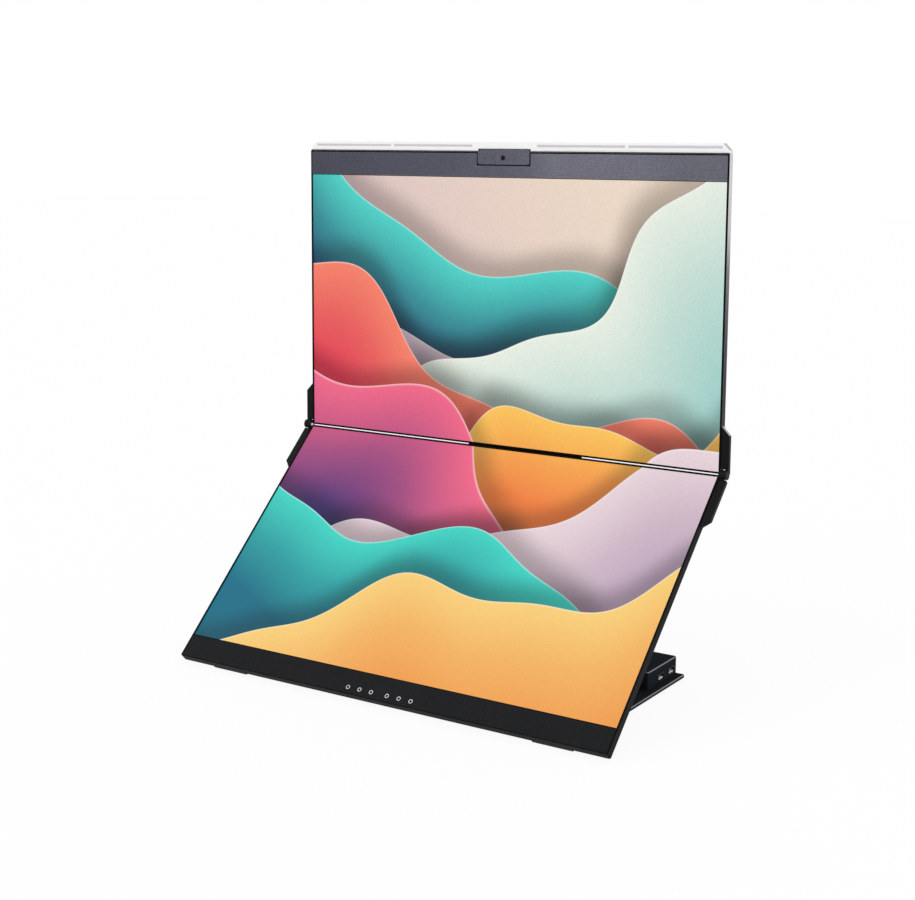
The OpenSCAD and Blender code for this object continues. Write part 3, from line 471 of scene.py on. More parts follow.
# %% Housing finishes
FINISH = {
    # Moulded ABS with a fine grain: an even black frame that the eye passes over.
    "frame_black": surface("moulded_abs_black", "#070708", "#0c0c0d", 0.42, 0.6, 0.01,
                           specular=0.04),
    # ABS from a spark-eroded mould: charcoal with a grain that can be seen from the desk.
    "chin_satin": surface("fine_grain_abs_charcoal", "#0f1011", "#212224", 0.5, 1.5, 0.03,
                          specular=0.06, contrast=0.85),
    # Textured ABS: a warm graphite that hides fingerprints, with no clear reflection.
    "cover_lower": surface("textured_abs_graphite", "#171516", "#1d1b1c", 0.5, 0.8, 0.03,
                           specular=0.04),
    # Electro-coated steel: thin, even and black, with a painted highlight in steel grey on its slanted ends.
    "bracket_black": surface("e_coated_steel_black", "#111012", "#171618", 0.4, 0.7, 0.01,
                             specular=0.07, layer=painted_end_highlight),
    # Powder coat on steel: blue-black and matt, with painted highlights as fine pale lines on its edges.
    "hub_gloss": surface("powder_coat_black", "#20242a", "#262a2f", 0.4, 1.4, 0.006,
                         specular=0.0, spread=0.03, layer=painted_edge_highlight),
    # The same coat on the plate, which lies in more light and looks a neutral dark grey.
    "plate_gloss": surface("powder_coat_plate", "#212124", "#28282b", 0.4, 1.4, 0.006,
                           specular=0.0, spread=0.03, layer=painted_edge_highlight),
    # Painted aluminium: the brightest surface, white against the strip, with painted shade in its slots.
    "rail_aluminium": surface("silver_painted_aluminium", "#f2f2f4", "#fcfcfd", 0.42, 0.7, 0.01,
                              specular=0.4, layer=painted_slot_shade_and_milled_ends),
    # Nitrile rubber: a dull black that takes light without a highlight.
    "rubber_black": surface("nitrile_rubber", "#141415", "#202022", 0.75, 0.5, 0.04,
                            specular=0.3),
    # Moulded speaker cases, a step lighter than the frame round them.
    "speaker_black": surface("speaker_moulding", "#1b1b1d", "#2a2a2d", 0.55, 0.8, 0.02),
    # Nylon of the power inlet, smooth and slightly waxy.
    "inlet_black": surface("nylon_socket_black", "#151517", "#1f1f21", 0.5, 0.7, 0.02),
    # Screen-printed ink: flat white rings on the dark chin. The diodes and tongues are as white.
    "ring_white": surface("printed_white_ink", "#d6d6d8", "#e6e6e8", 0.6, 0.4, 0.005,
                          specular=0.3),
    # Cast acrylic: a pale, clear-looking sheet with a smooth gloss.
    "guide_acrylic": surface("light_guide_acrylic", "#dfe6ea", "#eef3f5", 0.15, 2.0, 0.002,
                             spread=0.03),
}
print(len(FINISH), "moulded, coated and printed finishes")

# %% Metals and boards
FINISH |= {
    # Bead-blasted and anodised aluminium: grey with a metallic sparkle and a painted reflection that lightens it
    # towards the right.
    "strip_satin": surface("bead_blasted_anodised_grey", "#61616b", "#86868f", 0.5, 1.5, 0.03,
                           metal=0.55, specular=0.3, contrast=0.8, patch=60, layer=strip_painted_reflection),
    # Satin anodised aluminium: a soft silver back; the side walls are dark, with a painted reflection that
    # lightens them towards the top.
    "cover_upper": surface("satin_anodised_silver", "#b9bbc0", "#c5c7cc", 0.42, 0.9, 0.01,
                           metal=0.6, specular=0.15, patch=60, contrast=0.7, layer=wall_painted_reflection),
    # Hot-dip galvanised steel: patches of zinc about 20 mm wide, called spangle.
    "tray_steel": surface("galvanised_steel", "#84878b", "#a6a9ad", 0.4, 6.0, 0.01, metal=1.0,
                          patch=18),
    # Zinc-plated fixings: small bright points on the dark covers.
    "fixing_steel": surface("zinc_plated_steel", "#a3a6ab", "#c6c9ce", 0.3, 0.6, 0.01,
                            metal=1.0),
    # Turned brass washers: a warm yellow between the dark knuckles.
    "washer_brass": surface("turned_brass", "#a9813f", "#cda562", 0.3, 0.5, 0.01, metal=1.0),
    # Tinned steel of the socket shells, its colour darkened as painted shade for the little light that gets in.
    "socket_steel": surface("tinned_socket_steel", "#35363a", "#4b4c50", 0.25, 0.8, 0.005,
                            metal=1.0),
    # Solder mask over copper: green with lighter tracks that run into each other.
    "board_green": surface("solder_mask_green", "#164a2e", "#236b44", 0.35, 2.5, 0.03,
                           contrast=0.8),
    # Coated glass: almost black, with one sharp highlight.
    "lens_glass": surface("coated_lens_glass", "#030304", "#06070b", 0.08, 1.0, 0.001,
                          spread=0.02, specular=0.2),
}
print(len(FINISH), "finishes in all")

# %% [markdown]
# ## The picture on both screens
# A switched-on screen gives its own light, so its picture is an emission on a nearly black,
# matt panel. An image could hold it, but a formula needs no file and stays sharp from close by.
# The design is a generic one: wavy sheets of colour laid over each other. For a point (u, v) in
# millimetres, each sheet has an edge, a sum of two sine waves, and its distance from that edge
# chooses a colour between the crest and the depth. Both screens share the one pattern, measured
# from the seam, so the design runs on from one to the other.

# %% The sheets
SHEETS = (  # tilt, height, swing, wave length, phase, crest, depth colour, depth in mm
    (-24, 190, 34, 520, 40, "#4fd3c8", "#17356b", 120),
    (18, 118, 46, 430, 200, "#d9c3cf", "#a58fb0", 120),
    (34, 92, 30, 380, 120, "#e9f0e4", "#a6d3cc", 170),
    (-20, 66, 40, 470, 300, "#f7826a", "#e23a52", 130),
    (12, 6, 34, 360, 60, "#fdc65c", "#f3813f", 110),
    (-30, -48, 44, 500, 150, "#f2688a", "#3f2f7a", 200),
    (22, -96, 30, 410, 260, "#ead6dc", "#bfa6bd", 150),
    (-14, -138, 36, 450, 20, "#3fd6c6", "#0f6f88", 120),
    (16, -196, 30, 390, 170, "#fbd27a", "#f2a04e", 130),
)
RIPPLE, RIPPLE_LENGTH = 0.28, 0.43  # the second wave's height and length, as shares of the first
SHADOW, SHADOW_REACH, CREST = 0.56, 46.0, 0.016  # a sheet's shadow on the next, its pale edge
print("the design has", len(SHEETS), "sheets over its background")

# %% The layered design
def layered_design(tree, place):
    """Colour at (u, 0, v) mm, sheet by sheet: line = height + swing sin a + ripple swing sin b."""
    across = add(tree, "VectorMath", {0: place, 1: (1, 0, 0.6)}, "Value", operation="DOT_PRODUCT")
    sky = add(tree, "MapRange", {"Value": across, "From Min": -300.0, "From Max": 420.0},
              interpolation_type="SMOOTHSTEP")
    tone = add(tree, "Mix", {0: sky, 6: linear("#d8b9c0"), 7: linear("#efdcc8")}, 2,
               data_type="RGBA")
    for tilt, height, swing, wave, phase, crest, deep, depth in SHEETS:
        a, k, phase = math.radians(tilt), 2 * math.pi / wave, math.radians(phase)
        run = add(tree, "VectorMath", {0: place, 1: (k * math.cos(a), 0, k * math.sin(a))},
                  "Value", operation="DOT_PRODUCT")
        rise = add(tree, "VectorMath", {0: place, 1: (-math.sin(a), 0, math.cos(a))}, "Value",
                   operation="DOT_PRODUCT")
        long = add(tree, "Math", {0: run, 1: phase}, operation="ADD")
        short = add(tree, "Math", {0: run, 1: 1 / RIPPLE_LENGTH, 2: 1.7 * phase},
                    operation="MULTIPLY_ADD")
        long = add(tree, "Math", {0: long}, operation="SINE")
        short = add(tree, "Math", {0: short}, operation="SINE")
        line = add(tree, "Math", {0: height, 1: rise}, operation="SUBTRACT")
        line = add(tree, "Math", {0: short, 1: RIPPLE * swing, 2: line}, operation="MULTIPLY_ADD")
        under = add(tree, "Math", {0: long, 1: swing, 2: line}, operation="MULTIPLY_ADD")
        shade = add(tree, "MapRange", {"Value": under, "From Min": -SHADOW_REACH, "From Max": 0.0,
                                       "To Min": 1.0, "To Max": SHADOW},
                    interpolation_type="SMOOTHERSTEP")
        tone = add(tree, "Mix", {0: 1.0, 6: tone, 7: shade}, 2, data_type="RGBA",
                   blend_type="MULTIPLY")
        into = add(tree, "MapRange", {"Value": under, "From Max": float(depth)})
        body = add(tree, "ValToRGB", {"Fac": into})
        ramp = body.node.color_ramp
        ramp.elements.new(CREST).color = linear(crest)
        ramp.elements[0].color = [0.5 * c + 0.5 for c in linear(crest)]
        ramp.elements[2].color = linear(deep)
        ramp.elements.new(0.5).color = [0.4 * c + 0.6 * d
                                        for c, d in zip(linear(crest), linear(deep))]
        mask = add(tree, "MapRange", {"Value": under, "From Min": -0.5, "From Max": 0.5},
                   interpolation_type="SMOOTHSTEP")
        tone = add(tree, "Mix", {0: mask, 6: tone, 7: body}, 2, data_type="RGBA")
    return tone


print("wave lengths of the sheets, mm:", [sheet[3] for sheet in SHEETS])

# %% Lit screens
def lit_screen(name, turn, shift):
    """A matt black panel that gives the design's light. The Mapping node turns the panel upright
    and counts in millimetres from the seam."""
    made = bpy.data.materials.new(name)
    tree = blank_tree(made)
    place = add(tree, "TexCoord", {}, "Object")
    place = add(tree, "Mapping", {"Vector": place, "Rotation": (turn, 0, 0),
                                  "Scale": (1000, 1000, 1000), "Location": (0, 0, shift)})
    tone = layered_design(tree, place)
    grain = add(tree, "TexNoise", {"Vector": place, "Scale": 0.9, "Detail": 2.0})
    grain = add(tree, "MapRange", {"Value": grain, "From Min": 0.3, "From Max": 0.7,
                                   "To Min": 0.93, "To Max": 1.05})
    tone = add(tree, "Mix", {0: 1.0, 6: tone, 7: grain}, 2, data_type="RGBA",
               blend_type="MULTIPLY")
    film = add(tree, "TexNoise", {"Vector": place, "Scale": 2.0})
    film = add(tree, "Bump", {"Height": film, "Distance": 0.004 * MM, "Strength": 1.0})
    shader = add(tree, "BsdfPrincipled", {"Base Color": linear("#060607"), "Roughness": 0.45,
                                          "Specular IOR Level": 0.15, "Normal": film,
                                          "Emission Color": tone, "Emission Strength": 0.97})
    add(tree, "OutputMaterial", {"Surface": shader})
    return made


seam = -(HINGE[1] * math.sin(LEAN) + HINGE[2] * math.cos(LEAN))
FINISH["screen_upper"] = lit_screen("lit_panel_upper", 0.0, -HINGE[2])
FINISH["screen_lower"] = lit_screen("lit_panel_lower", LEAN, seam)
print("the seam lies", round(float(seam), 2), "mm from the lower pattern's origin")

# %% [markdown]
# ## Dress the CAD nodes
# Each slot of the record names the nodes that share a finish, so the nodes take their materials
# from it. Small parts keep their CAD shape: a weld joins their loose triangles, and a narrow bevel
# rounds their edges, both as modifiers, so the mesh itself stays as it was packed.

# %% Materials by slot
for part in frame["record"]["subparts"]:
    mesh = frame["nodes"][part["node"]].data
    mesh.materials.clear()
    mesh.materials.append(FINISH[part["material_slot"]])

# %% Eased edges on the small CAD parts
EASED = {  # width of the rounded edge in mm
    0.35: ("stand_arm", "tilt_bracket", "foot_bracket", "chin_pads", "arm_cover",
           "upper_hinge_bracket_left", "upper_hinge_bracket_right",
           "lower_hinge_bracket_left", "lower_hinge_bracket_right"),
    0.25: ("base_feet", "tilt_bracket_screws", "foot_bracket_screws", "tilt_pin", "foot_pin",
           "hinge_pin_left", "hinge_pin_right"),
}
for width, names in EASED.items():
    for name in names:
        ease_edges(frame["nodes"][name], width, weld=True)
print("eased parts:", sum(map(len, EASED.values())))

# %% [markdown]
# ## Front frames
# Each front is one moulding: a narrow lip round the picture, a pocket beside it for the satin
# strip or the chin, and a hidden shelf that carries them. An inset of a box's front would give one
# opening, but these have two depths, and boxes on a lattice say that directly.

# %% Measures of a display
FAR, SHARP = 50.0, 0.01  # a face this far off, or an edge this small, stays unrounded
PAST, OVERLAP = 1.0, 0.5  # how far a cut runs past a face, or into the next cut
(_, FACE, EDGE), (HALF, SHELF_BACK, UPPER_END) = own_box("upper_front_frame", upright)
LOWER_END = own_box("lower_front_frame", leaning)[1][2]
LIP = own_box("brow_strip", upright)[1][1]
BACK = own_box("top_rail", upright)[1][1]
HOUSING_BACK = own_box("upper_rear_cover", upright)[1][1]
PICTURE_W, PICTURE_H, SEAM_BORDER, SEAM_LIP = 527.04, 296.46, 1.7, 0.3
CORNER, WALL = 2.0, 1.0
PLATE_ROOM, BLOCK_ROOM, BLOCK_PAST = 0.1, 0.35, 1.2
SHELF_START = own_box("upper_backlight_tray", upright)[1][2] + PLATE_ROOM
block = own_box("webcam_housing", upright)
camera_room = grown(span(*block), -BLOCK_ROOM, BLOCK_ROOM, -BLOCK_PAST, BLOCK_ROOM, -BLOCK_ROOM,
                    BLOCK_PAST)
print("display half width", HALF, "face", FACE, "lip", LIP, "back", BACK, HOUSING_BACK)

# %% Frames
def pocket_of(node, place):
    """The pocket that a plate lies in: its box with a hair of room on every side."""
    return grown(span(*own_box(node, place)), -PLATE_ROOM, PLATE_ROOM, -PAST, 0, -PLATE_ROOM,
                 PLATE_ROOM)


def front_frame(name, end, place, body, node, plate, openings):
    """Lip plus shelf, less the picture, the plate's pocket and the openings. The shelf lies
    inside the rear cover's walls."""
    inset = WALL + PLATE_ROOM
    lip = (-HALF, HALF, FACE, LIP, EDGE - SEAM_LIP, end)
    shelf = (-HALF + inset, HALF - inset, LIP, SHELF_BACK, SHELF_START, end - inset)
    picture = (-PICTURE_W / 2, PICTURE_W / 2, 0, LIP, EDGE + SEAM_BORDER,
               EDGE + SEAM_BORDER + PICTURE_H)
    points, faces = lattice([lip, shelf], [picture, pocket_of(plate, place), *openings],
                            (box_lines(-HALF, HALF, CORNER), (),
                             box_lines(EDGE - SEAM_LIP, end, CORNER)))
    points = soften(points, (-HALF, -FAR, EDGE - SEAM_LIP), (HALF, FAR, end), CORNER, SHARP, 1)
    piece(name, (points, faces), place, body, "frame_black", [node], bevel=0.15)


front_frame("upper_bezel", UPPER_END, upright, "upper_display", "upper_front_frame",
            "brow_strip", [camera_room])
front_frame("lower_bezel", LOWER_END, leaning, "lower_display", "lower_front_frame",
            "chin_cover", [])

# %% [markdown]
# The strip above the upper picture and the chin below the lower one are thin plates that lie in
# the frames' pockets with a hair of a gap, which the eye reads as a fine dark line. A line drawn by
# a material would do from afar, but a real gap keeps its shadow from every side. The strip stops a
# little short of the rail, and a groove runs round the camera block.

# %% Strip and chin
TOP_SHADOW, GROOVE = 1.5, 1.3


def pocket_plate(name, place, body, slot, node, short, openings):
    """The node's own box, `short` mm lower at its far end, less the openings."""
    plate = grown(span(*own_box(node, place)), 0, 0, 0, 0, 0, -short)
    piece(name, lattice([plate], openings), place, body, slot, [node], bevel=0.2)


groove = grown(span(*block), -GROOVE, GROOVE, -BLOCK_PAST, GROOVE, -GROOVE, 2 * PAST)
pocket_plate("camera_strip", upright, "upper_display", "strip_satin", "brow_strip", TOP_SHADOW,
             [groove])
pocket_plate("chin_plate", leaning, "lower_display", "chin_satin", "chin_cover", 0, [])

# %% [markdown]
# ## Rear covers
# A rear cover is a tray with rounded edges and a raised housing for the electronics. Booleans
# could cut its vents and recesses, but they leave scraps where round and flat walls meet. Here the
# housing is a second box on the lattice, with its sides tapered, and vents and screw recesses are
# cut as boxes, the recesses then made round.

# %% Measures of the rear covers
HOUSING = (170.0, 70.0, 250.0)  # half width, low end and high end
TAPER_FROM = (120.0, 72.0)  # how far from its middle the taper starts, in x and in z
BACK_WALL, HOUSING_WALL, BACK_ROUND, HOUSING_ROUND, HOUSING_CORNER = 1.5, 3.0, 1.5, 2.0, 8.0
VENT_W, VENT_H, VENT_STEP, VENT_ROWS = 3.0, 16.0, 8.0, (193.0, 215.0)
VENTS = [(VENT_STEP * i, z) for i in range(-7, 8) for z in VENT_ROWS]
HEAD_R, RECESS_R, RECESS, RECESS_REACH = 2.9, 3.2, 0.8, 6.0
screw_low, screw_high = own_box("upper_cover_screws", upright)
SCREWS = [(side * (screw_high[0] - HEAD_R), z) for side in (-1, 1)
          for z in (screw_low[2] + HEAD_R, screw_high[2] - HEAD_R)]
LEAF, LEAF_MARGIN, LEAF_DEEP = 1.6, 2.7, 1.5
leaf_back = own_box("upper_hinge_bracket_right", upright)[1][1]
rivets = own_box("upper_bracket_rivets", upright)
LEAF_SLOT = (leaf_back - LEAF, leaf_back + PLATE_ROOM,
             rivets[0][2] - LEAF_MARGIN, rivets[1][2] + LEAF_MARGIN)
print(len(VENTS), "vents,", len(SCREWS), "screws, bracket slot", np.round(LEAF_SLOT, 2))

# %% Tapered housing
def taper(points):
    """Sides of the housing lean in by 1 mm for each mm of height, fading out towards its middle."""
    out = points.copy()
    height = np.clip(out[:, 1] - BACK, 0, None)
    half, low, high = HOUSING
    middle = (low + high) / 2
    from_x, from_z = TAPER_FROM
    over_x = np.clip((np.abs(out[:, 0]) - from_x) / (half - from_x), 0, 1)
    over_z = np.clip((np.abs(out[:, 2] - middle) - from_z) / (high - middle - from_z), 0, 1)
    out[:, 0] -= np.sign(out[:, 0]) * over_x * height
    out[:, 2] -= np.sign(out[:, 2] - middle) * over_z * height
    return out


corner = np.array([(HOUSING[0], HOUSING_BACK, HOUSING[2])])
print("a corner of the housing moves from", corner, "to", taper(corner))

# %% Rear covers
def rear_cover(name, end, place, body, slot, node, openings):
    """Tray plus housing, less their insides, vents, recesses and the slots of the hinge brackets.
    Points of the housing are rounded and tapered, all others are rounded as the tray's."""
    (half, low, high), top, inside = HOUSING, HOUSING_BACK, BACK - BACK_WALL
    boxes = [(-HALF, HALF, LIP, BACK, EDGE, end), (-half, half, BACK, top, low, high)]
    cuts = [(-HALF + WALL, HALF - WALL, 0, inside, EDGE + WALL, end - WALL),
            (-half + HOUSING_WALL, half - HOUSING_WALL, inside - OVERLAP, top - BACK_WALL,
             low + HOUSING_WALL, high - HOUSING_WALL)]
    cuts += [(x - VENT_W / 2, x + VENT_W / 2, top - BACK_WALL - OVERLAP, top + PAST, z, z + VENT_H)
             for x, z in VENTS]
    cuts += [(x - RECESS_R, x + RECESS_R, BACK - RECESS, BACK + PAST, z - RECESS_R, z + RECESS_R)
             for x, z in SCREWS]
    cuts += [(side * HALF - LEAF_DEEP, side * HALF + LEAF_DEEP, *LEAF_SLOT) for side in (-1, 1)]
    tray = (-HALF, -FAR, EDGE), (HALF, BACK, end), CORNER, BACK_ROUND, 1
    lines = soft_lines(*tray)
    lines[0] += box_lines(-half, half, HOUSING_CORNER)
    lines[1] += arc_lines(top, -1, HOUSING_ROUND)
    lines[2] += box_lines(low, high, HOUSING_CORNER)
    for x, z in SCREWS:
        lines[0] += hole_lines(x, RECESS_R)
        lines[2] += hole_lines(z, RECESS_R)
    points, faces = lattice(boxes, cuts + openings, lines)
    for x, z in SCREWS:
        points = round_hole(points, (x, z), RECESS_R, RECESS_REACH)
    raised = ((points[:, 1] >= BACK) & (np.abs(points[:, 0]) <= half)
              & (points[:, 2] >= low) & (points[:, 2] <= high))
    points[raised] = soften(points[raised], (-half, -FAR, low), (half, top, high),
                            HOUSING_CORNER, HOUSING_ROUND, 1)
    points[raised] = taper(points[raised])
    points[~raised] = soften(points[~raised], *tray)
    piece(name, (points, faces), place, body, slot, [node], smooth=28)


rear_cover("upper_back_shell", UPPER_END, upright, "upper_display", "cover_upper",
           "upper_rear_cover", [camera_room])
rear_cover("lower_back_shell", LOWER_END, leaning, "lower_display", "cover_lower",
           "lower_rear_cover", [])

# %% [markdown]
# The covers are fixed with socket-head screws. The socket could be a cut hexagon, but a turned
# profile whose last rings are six-sided makes head and socket in one closed grid.

# %% Screw heads
SCREW = ((1.5, -3.6), (1.5, -0.7), (HEAD_R, -0.7), (HEAD_R, -0.25), (2.65, -0.05),
         (-1.45, -0.05), (-1.4, -0.55), (-0.2, -0.6))  # shank, head, chamfer, then the socket
heads = together([turned(SCREW, (x, BACK, z), 24, 6) for x, z in SCREWS])
for display, place in (("upper", upright), ("lower", leaning)):
    piece(f"{display}_socket_screws", heads, place, f"{display}_display", "fixing_steel",
          [f"{display}_cover_screws"])

# %% [markdown]
# ## The rail on top
# The bright rail is an extruded aluminium bar with four milled slots, and its upper corners are
# cut. A boolean wedge could cut them, but a shear of the lattice keeps it closed: the top comes
# down by as much as the point lies past the start of the cut.

# %% Slotted rail
(_, RAIL_FRONT, RAIL_FOOT), (RAIL_HALF, _, RAIL_TOP) = own_box("top_rail", upright)
RAIL_CUT, RAIL_END, SLOT_W, SLOT_H, SLOT_GAP, SLOT_DEEP = 8.0, 4.0, 106.0, 3.0, 4.0, 1.2
SLOT_HEIGHT = 0.55  # a slot's middle, as a share of the rail's height


def cut_corners(points):
    """Height above the foot x (rail height - distance past the cut) / rail height."""
    out = points.copy()
    tall = RAIL_TOP - RAIL_FOOT
    past = np.clip(np.abs(out[:, 0]) - (RAIL_HALF - RAIL_CUT), 0, RAIL_CUT)
    out[:, 2] = RAIL_FOOT + (out[:, 2] - RAIL_FOOT) * (tall - past) / tall
    return out


slot_x = RAIL_HALF - RAIL_CUT - SLOT_W / 2
slot_z = RAIL_FOOT + SLOT_HEIGHT * (RAIL_TOP - RAIL_FOOT)
slots = [(x - SLOT_W / 2, x + SLOT_W / 2, RAIL_FRONT - PAST, RAIL_FRONT + SLOT_DEEP,
          slot_z - SLOT_H / 2, slot_z + SLOT_H / 2)
         for x in (slot_x, slot_x - SLOT_W - SLOT_GAP, SLOT_W + SLOT_GAP - slot_x, -slot_x)]
hollow = (-RAIL_HALF + RAIL_END, RAIL_HALF - RAIL_END, RAIL_FRONT + 2 * SLOT_DEEP,
          BACK - BACK_WALL, RAIL_FOOT - PAST, RAIL_TOP - BACK_WALL)
points, faces = lattice([(-RAIL_HALF, RAIL_HALF, RAIL_FRONT, BACK, RAIL_FOOT, RAIL_TOP)],
                        [hollow, camera_room, *slots],
                        ([RAIL_CUT - RAIL_HALF, RAIL_HALF - RAIL_CUT], (), ()))
piece("slotted_rail", (cut_corners(points), faces), upright, "upper_display", "rail_aluminium",
      ["top_rail"], bevel=0.35)

# %% [markdown]
# ## Camera block and lens
# The camera sits in a small block that stands a little proud of the strip, with rounded corners.
# Its round opening is a square hole of the lattice whose rim was laid on a circle. The lens could
# be a flattened sphere, but turned from one profile it has its barrel, ring and shallow dome.

# %% Camera block
(_, front, foot), (wide, back, top) = block
lens_z = (foot + UPPER_END) / 2
LENS_R, LENS_REACH, LENS_DEEP, BLOCK_WALL, BLOCK_TOP, BOARD_SEAT = 2.8, 4.6, 2.0, 2.0, 3.0, 4.6
BLOCK_ROUND = (2.4, 0.4, 1)  # radius of the corners, of the edges, and the axis of the depth
rounding = (-wide, front, foot), (wide, FAR, top), *BLOCK_ROUND
lines = soft_lines(*rounding)
lines[0] += hole_lines(0, LENS_R)
lines[2] += hole_lines(lens_z, LENS_R)
points, faces = lattice(
    [(-wide, wide, front, back, foot, top)],
    [(-LENS_R, LENS_R, front - PAST, front + LENS_DEEP, lens_z - LENS_R, lens_z + LENS_R),
     (-wide + BLOCK_WALL, wide - BLOCK_WALL, BOARD_SEAT, back + PAST, foot + BLOCK_WALL,
      top - BLOCK_TOP)], lines)
points = soften(round_hole(points, (0, lens_z), LENS_R, LENS_REACH), *rounding)
piece("camera_block", (points, faces), upright, "upper_display", "strip_satin",
      ["webcam_housing"])

# %% Lens
LENS = ((0.05, 1.9), (2.75, 1.9), (2.75, 0.35), (2.5, 0.25), (2.2, 0.45), (1.9, 1.2),
        (1.7, 1.25), (1.2, 0.98), (0.6, 0.85), (0.05, 0.8))  # (radius, depth): barrel, ring, dome
lens = turned(LENS, (0, front, lens_z), 40)
piece("camera_lens", lens, upright, "upper_display", "lens_glass", ["webcam_lens"], smooth=50)

# %% [markdown]
# ## Touch keys
# The keys have no travel: they are white printed rings over a sensor. A texture could print them,
# but a ring of its own stays crisp from close by. Each has a thickness of ink: a grid of four
# circles that closes on itself.

# %% Key rings
RING_OUT, RING_IN, KEY_STEP, INK = 2.3, 1.6, 14.6, (-0.03, 0.2)
rings = own_box("touch_key_rings", leaning)
ring_z = (rings[0][2] + rings[1][2]) / 2
KEYS = [side * (rings[1][0] - RING_OUT - i * KEY_STEP) for side in (-1, 1) for i in range(3)]


def flat_ring(x, z, count=40):
    """Four circles x + r cos t, z - r sin t, joined in a closed loop: outer back, outer front,
    inner front and inner back."""
    t = np.arange(count) * 2 * math.pi / count
    front, back = FACE + INK[0], FACE + INK[1]
    rows = np.array([(RING_OUT, back), (RING_OUT, front), (RING_IN, front), (RING_IN, back)])
    rings = np.stack([x + rows[:, :1] * np.cos(t), np.repeat(rows[:, 1:], count, 1),
                      z - rows[:, :1] * np.sin(t)], axis=-1)
    index = np.arange(4 * count).reshape(4, count)
    below, beside = np.roll(index, -1, 0), np.roll(index, -1, 1)
    faces = np.stack([index, beside, np.roll(below, -1, 1), below], -1).reshape(-1, 4)
    return rings.reshape(-1, 3), faces.tolist()


piece("printed_key_rings", together([flat_ring(x, ring_z) for x in KEYS]), leaning,
      "lower_display", "ring_white", ["touch_key_rings"])

# %% [markdown]
# ## Hub, plate and the cover behind the seam
# The base is a powder-coated steel plate with a hub housing on its rear. A dark cover hides the
# flat cable that crosses the seam. Cubes with a bevel would look alike, but the bevel would also
# round the sockets' mouths. Softened lattices keep those sharp, and their narrow round edges carry
# the fine pale lines of a painted highlight.

# %% Base
BASE_ROUND = (2.0, 1.0, 2)
low, high = own_box("base_plate")
high[2] = own_box("hub_shell")[0][2]  # without the studs that stand inside the hub
points, faces = lattice([span(low, high)], (), soft_lines(low, high, *BASE_ROUND))
points = soften(points, low, high, *BASE_ROUND)
piece("steel_plate", (points, faces), on_desk, "base", "plate_gloss", ["base_plate"])

# %% Hub
low, high = own_box("hub_shell")
usb = own_box("usb_sockets")
HUB_WALL, PORT_DEEP, USB_W, POWER_R, POWER_REACH = 2.0, 3.0, 13.2, 3.9, 5.6
power = own_box("power_inlet")
POWER = ((power[0][0] + power[1][0]) / 2, power[1][2] - (power[1][0] - power[0][0]) / 2)
side_port, rear_port = (high[0] - PORT_DEEP, high[0] + PAST), (high[1] - PORT_DEEP, high[1] + PAST)
cuts = [grown(span(low, high), HUB_WALL, -HUB_WALL, HUB_WALL, -HUB_WALL, -PAST, -HUB_WALL)]
cuts += [(*side_port, y, y + USB_W, usb[0][2], usb[1][2])
         for y in (usb[0][1], usb[1][1] - USB_W)]
cuts += [(port[0][0], port[1][0], *rear_port, port[0][2], port[1][2] + PLATE_ROOM)
         for port in map(own_box, ("video_socket", "network_socket"))]
cuts += [(POWER[0] - POWER_R, POWER[0] + POWER_R, *rear_port, POWER[1] - POWER_R,
          POWER[1] + POWER_R)]
rounding = (low[0], low[1], -FAR), high, *BASE_ROUND
lines = soft_lines(*rounding)
lines[0] += hole_lines(POWER[0], POWER_R)
lines[2] += hole_lines(POWER[1], POWER_R)
points, faces = lattice([span(low, high)], cuts, lines)
rear = points[:, 1] > high[1] - HUB_WALL - PORT_DEEP
points[rear] = round_hole(points[rear], POWER, POWER_R, POWER_REACH)
piece("hub_case", (soften(points, *rounding), faces), on_desk, "base", "hub_gloss", ["hub_shell"])

# %% Cover behind the seam
COVER_ROUND, ARCH_DEEP = (3.0, 1.0, 1), 0.4
low, high = own_box("bridge_cover", upright)
rounding = (low[0], -FAR, low[2]), high, *COVER_ROUND
ARCH = (low[0] - PAST, high[0] + PAST, BACK - PAST, BACK + ARCH_DEEP, low[2] - PAST, EDGE)
points, faces = lattice([span(low, high)], [ARCH], soft_lines(*rounding))
piece("seam_cover", (soften(points, *rounding), faces), upright, "upper_display",
      "bracket_black", ["bridge_cover"])

# %% [markdown]
# ## Camera, light and floor
# The camera could be turned by eye until the view looks right. This one was solved from the
# corners of both pictures: it stands 33 degrees to the right of the screens and 8 degrees above
# them, with the picture shifted a little. The floor and the world are white to the camera and to
# reflections, and the floor keeps a trace of the object's shadow.

# %% Camera
YAW, PITCH, ROLL = (math.radians(a) for a in (32.721, 8.255, 0.403))
SPOT, FOCAL, SENSOR, SHIFT = (926.94, -1407.64, 566.42), 63.479, 36.0, (-0.00983, -0.07589)
lens_data = bpy.data.cameras.new("camera")
lens_data.lens, lens_data.sensor_width = FOCAL, SENSOR
lens_data.shift_x, lens_data.shift_y = SHIFT
eye = in_scene("camera", lens_data)
eye.matrix_world = (Matrix.Translation([mm * MM for mm in SPOT]) @ Matrix.Rotation(YAW, 4, "Z")
                    @ Matrix.Rotation(math.pi / 2 - PITCH, 4, "X")
                    @ Matrix.Rotation(ROLL, 4, "Z"))
bpy.context.scene.camera = eye
print("camera at", SPOT, "mm")

# %% Floor and world
WORLD_LIGHT, PAPER_LIGHT, FLOOR = 0.78, 0.92, 12.0


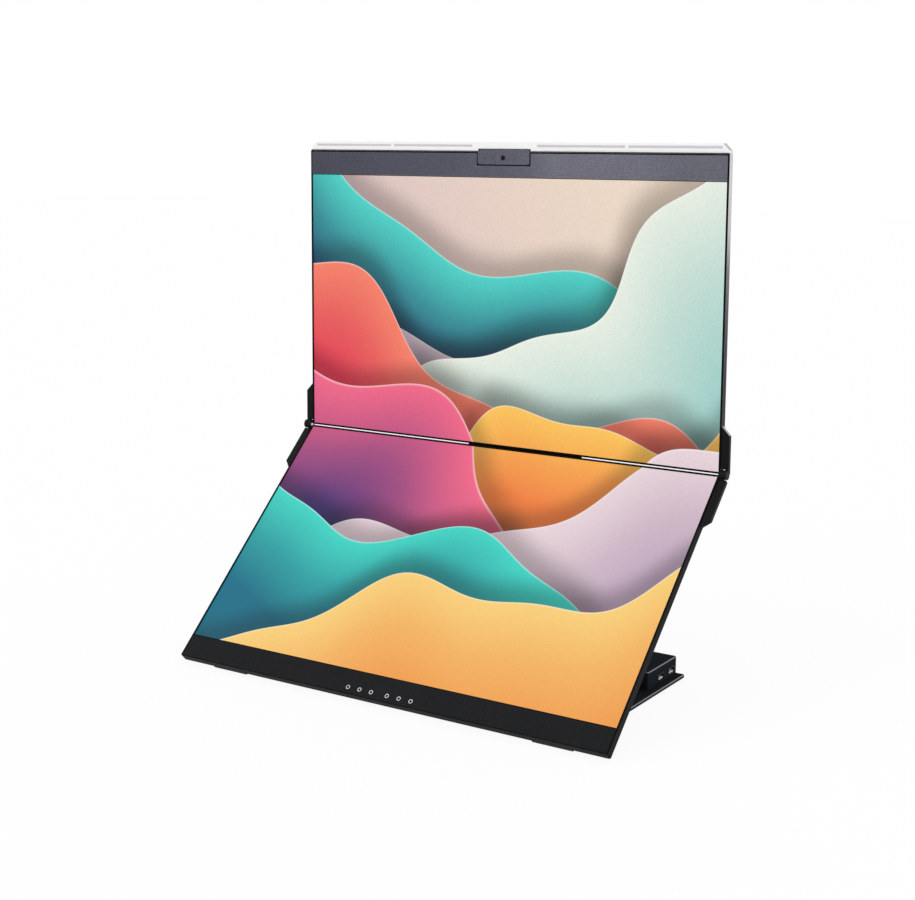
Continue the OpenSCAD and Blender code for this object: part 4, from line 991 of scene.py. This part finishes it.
def seen_white(tree, weight):
    """1 for rays that look at the background directly, in a mirror or through glass."""
    path = add(tree, "LightPath", {}).node.outputs
    seen = add(tree, "Math", {0: path["Is Camera Ray"], 1: path["Is Glossy Ray"]},
               operation="MAXIMUM")
    seen = add(tree, "Math", {0: seen, 1: path["Is Transmission Ray"]}, operation="MAXIMUM")
    return add(tree, "Math", {0: seen, 1: weight}, operation="MULTIPLY")


paper = bpy.data.materials.new("white_paper_sweep")
tree = blank_tree(paper)
matt = add(tree, "BsdfDiffuse", {"Color": linear("#f2f2f2")})
bright = add(tree, "Emission", {"Color": (1, 1, 1, 1), "Strength": 1.0})
white = seen_white(tree, PAPER_LIGHT)
add(tree, "OutputMaterial", {"Surface": add(tree, "MixShader", {0: white, 1: matt, 2: bright})})
floor_mesh = bpy.data.meshes.new("floor")
floor_mesh.from_pydata([(x * FLOOR, y * FLOOR, 0) for x, y in ((-1, -1), (1, -1), (1, 1), (-1, 1))],
                       [], [(0, 1, 2, 3)])
floor_mesh.materials.append(paper)
floor = in_scene("floor", floor_mesh)

world = bpy.data.worlds.new("white_studio")
bpy.context.scene.world = world
tree = blank_tree(world)
level = add(tree, "MapRange", {"Value": seen_white(tree, 1.0), "To Min": WORLD_LIGHT,
                               "To Max": 1.0})
sky = add(tree, "Background", {"Color": (1, 1, 1, 1), "Strength": level})
add(tree, "OutputWorld", {"Surface": sky})
print("floor", 2 * FLOOR, "m wide, world light", WORLD_LIGHT)

# %% [markdown]
# The lamps are wide suns. Area lamps would leave a bright patch on the floor, but light from far
# away falls evenly, and the wide angle keeps shadows as soft as those of a large studio box.

# %% Lamps
def wide_sun(name, towards, strength, angle):
    """A sun that stands in the direction `towards`, with a disc of `angle` degrees."""
    lamp = bpy.data.lights.new(name, "SUN")
    lamp.energy, lamp.angle = strength, math.radians(angle)
    in_scene(name, lamp).rotation_euler = Vector(towards).to_track_quat("Z", "Y").to_euler()
    print(f"{name} lamp: strength {strength}, {angle} degrees wide")


wide_sun("key", (-1.4, -1.8, 2.0), 0.6, 40)
wide_sun("side", (2.4, -0.2, 1.2), 0.4, 50)
wide_sun("back", (-0.6, 2.2, 1.8), 0.4, 50)

# %% [markdown]
# ## Finish
# The colour transform is the plain one, and looks never change the size.

# %% The last line
bpy.context.scene.view_settings.view_transform = "Standard"
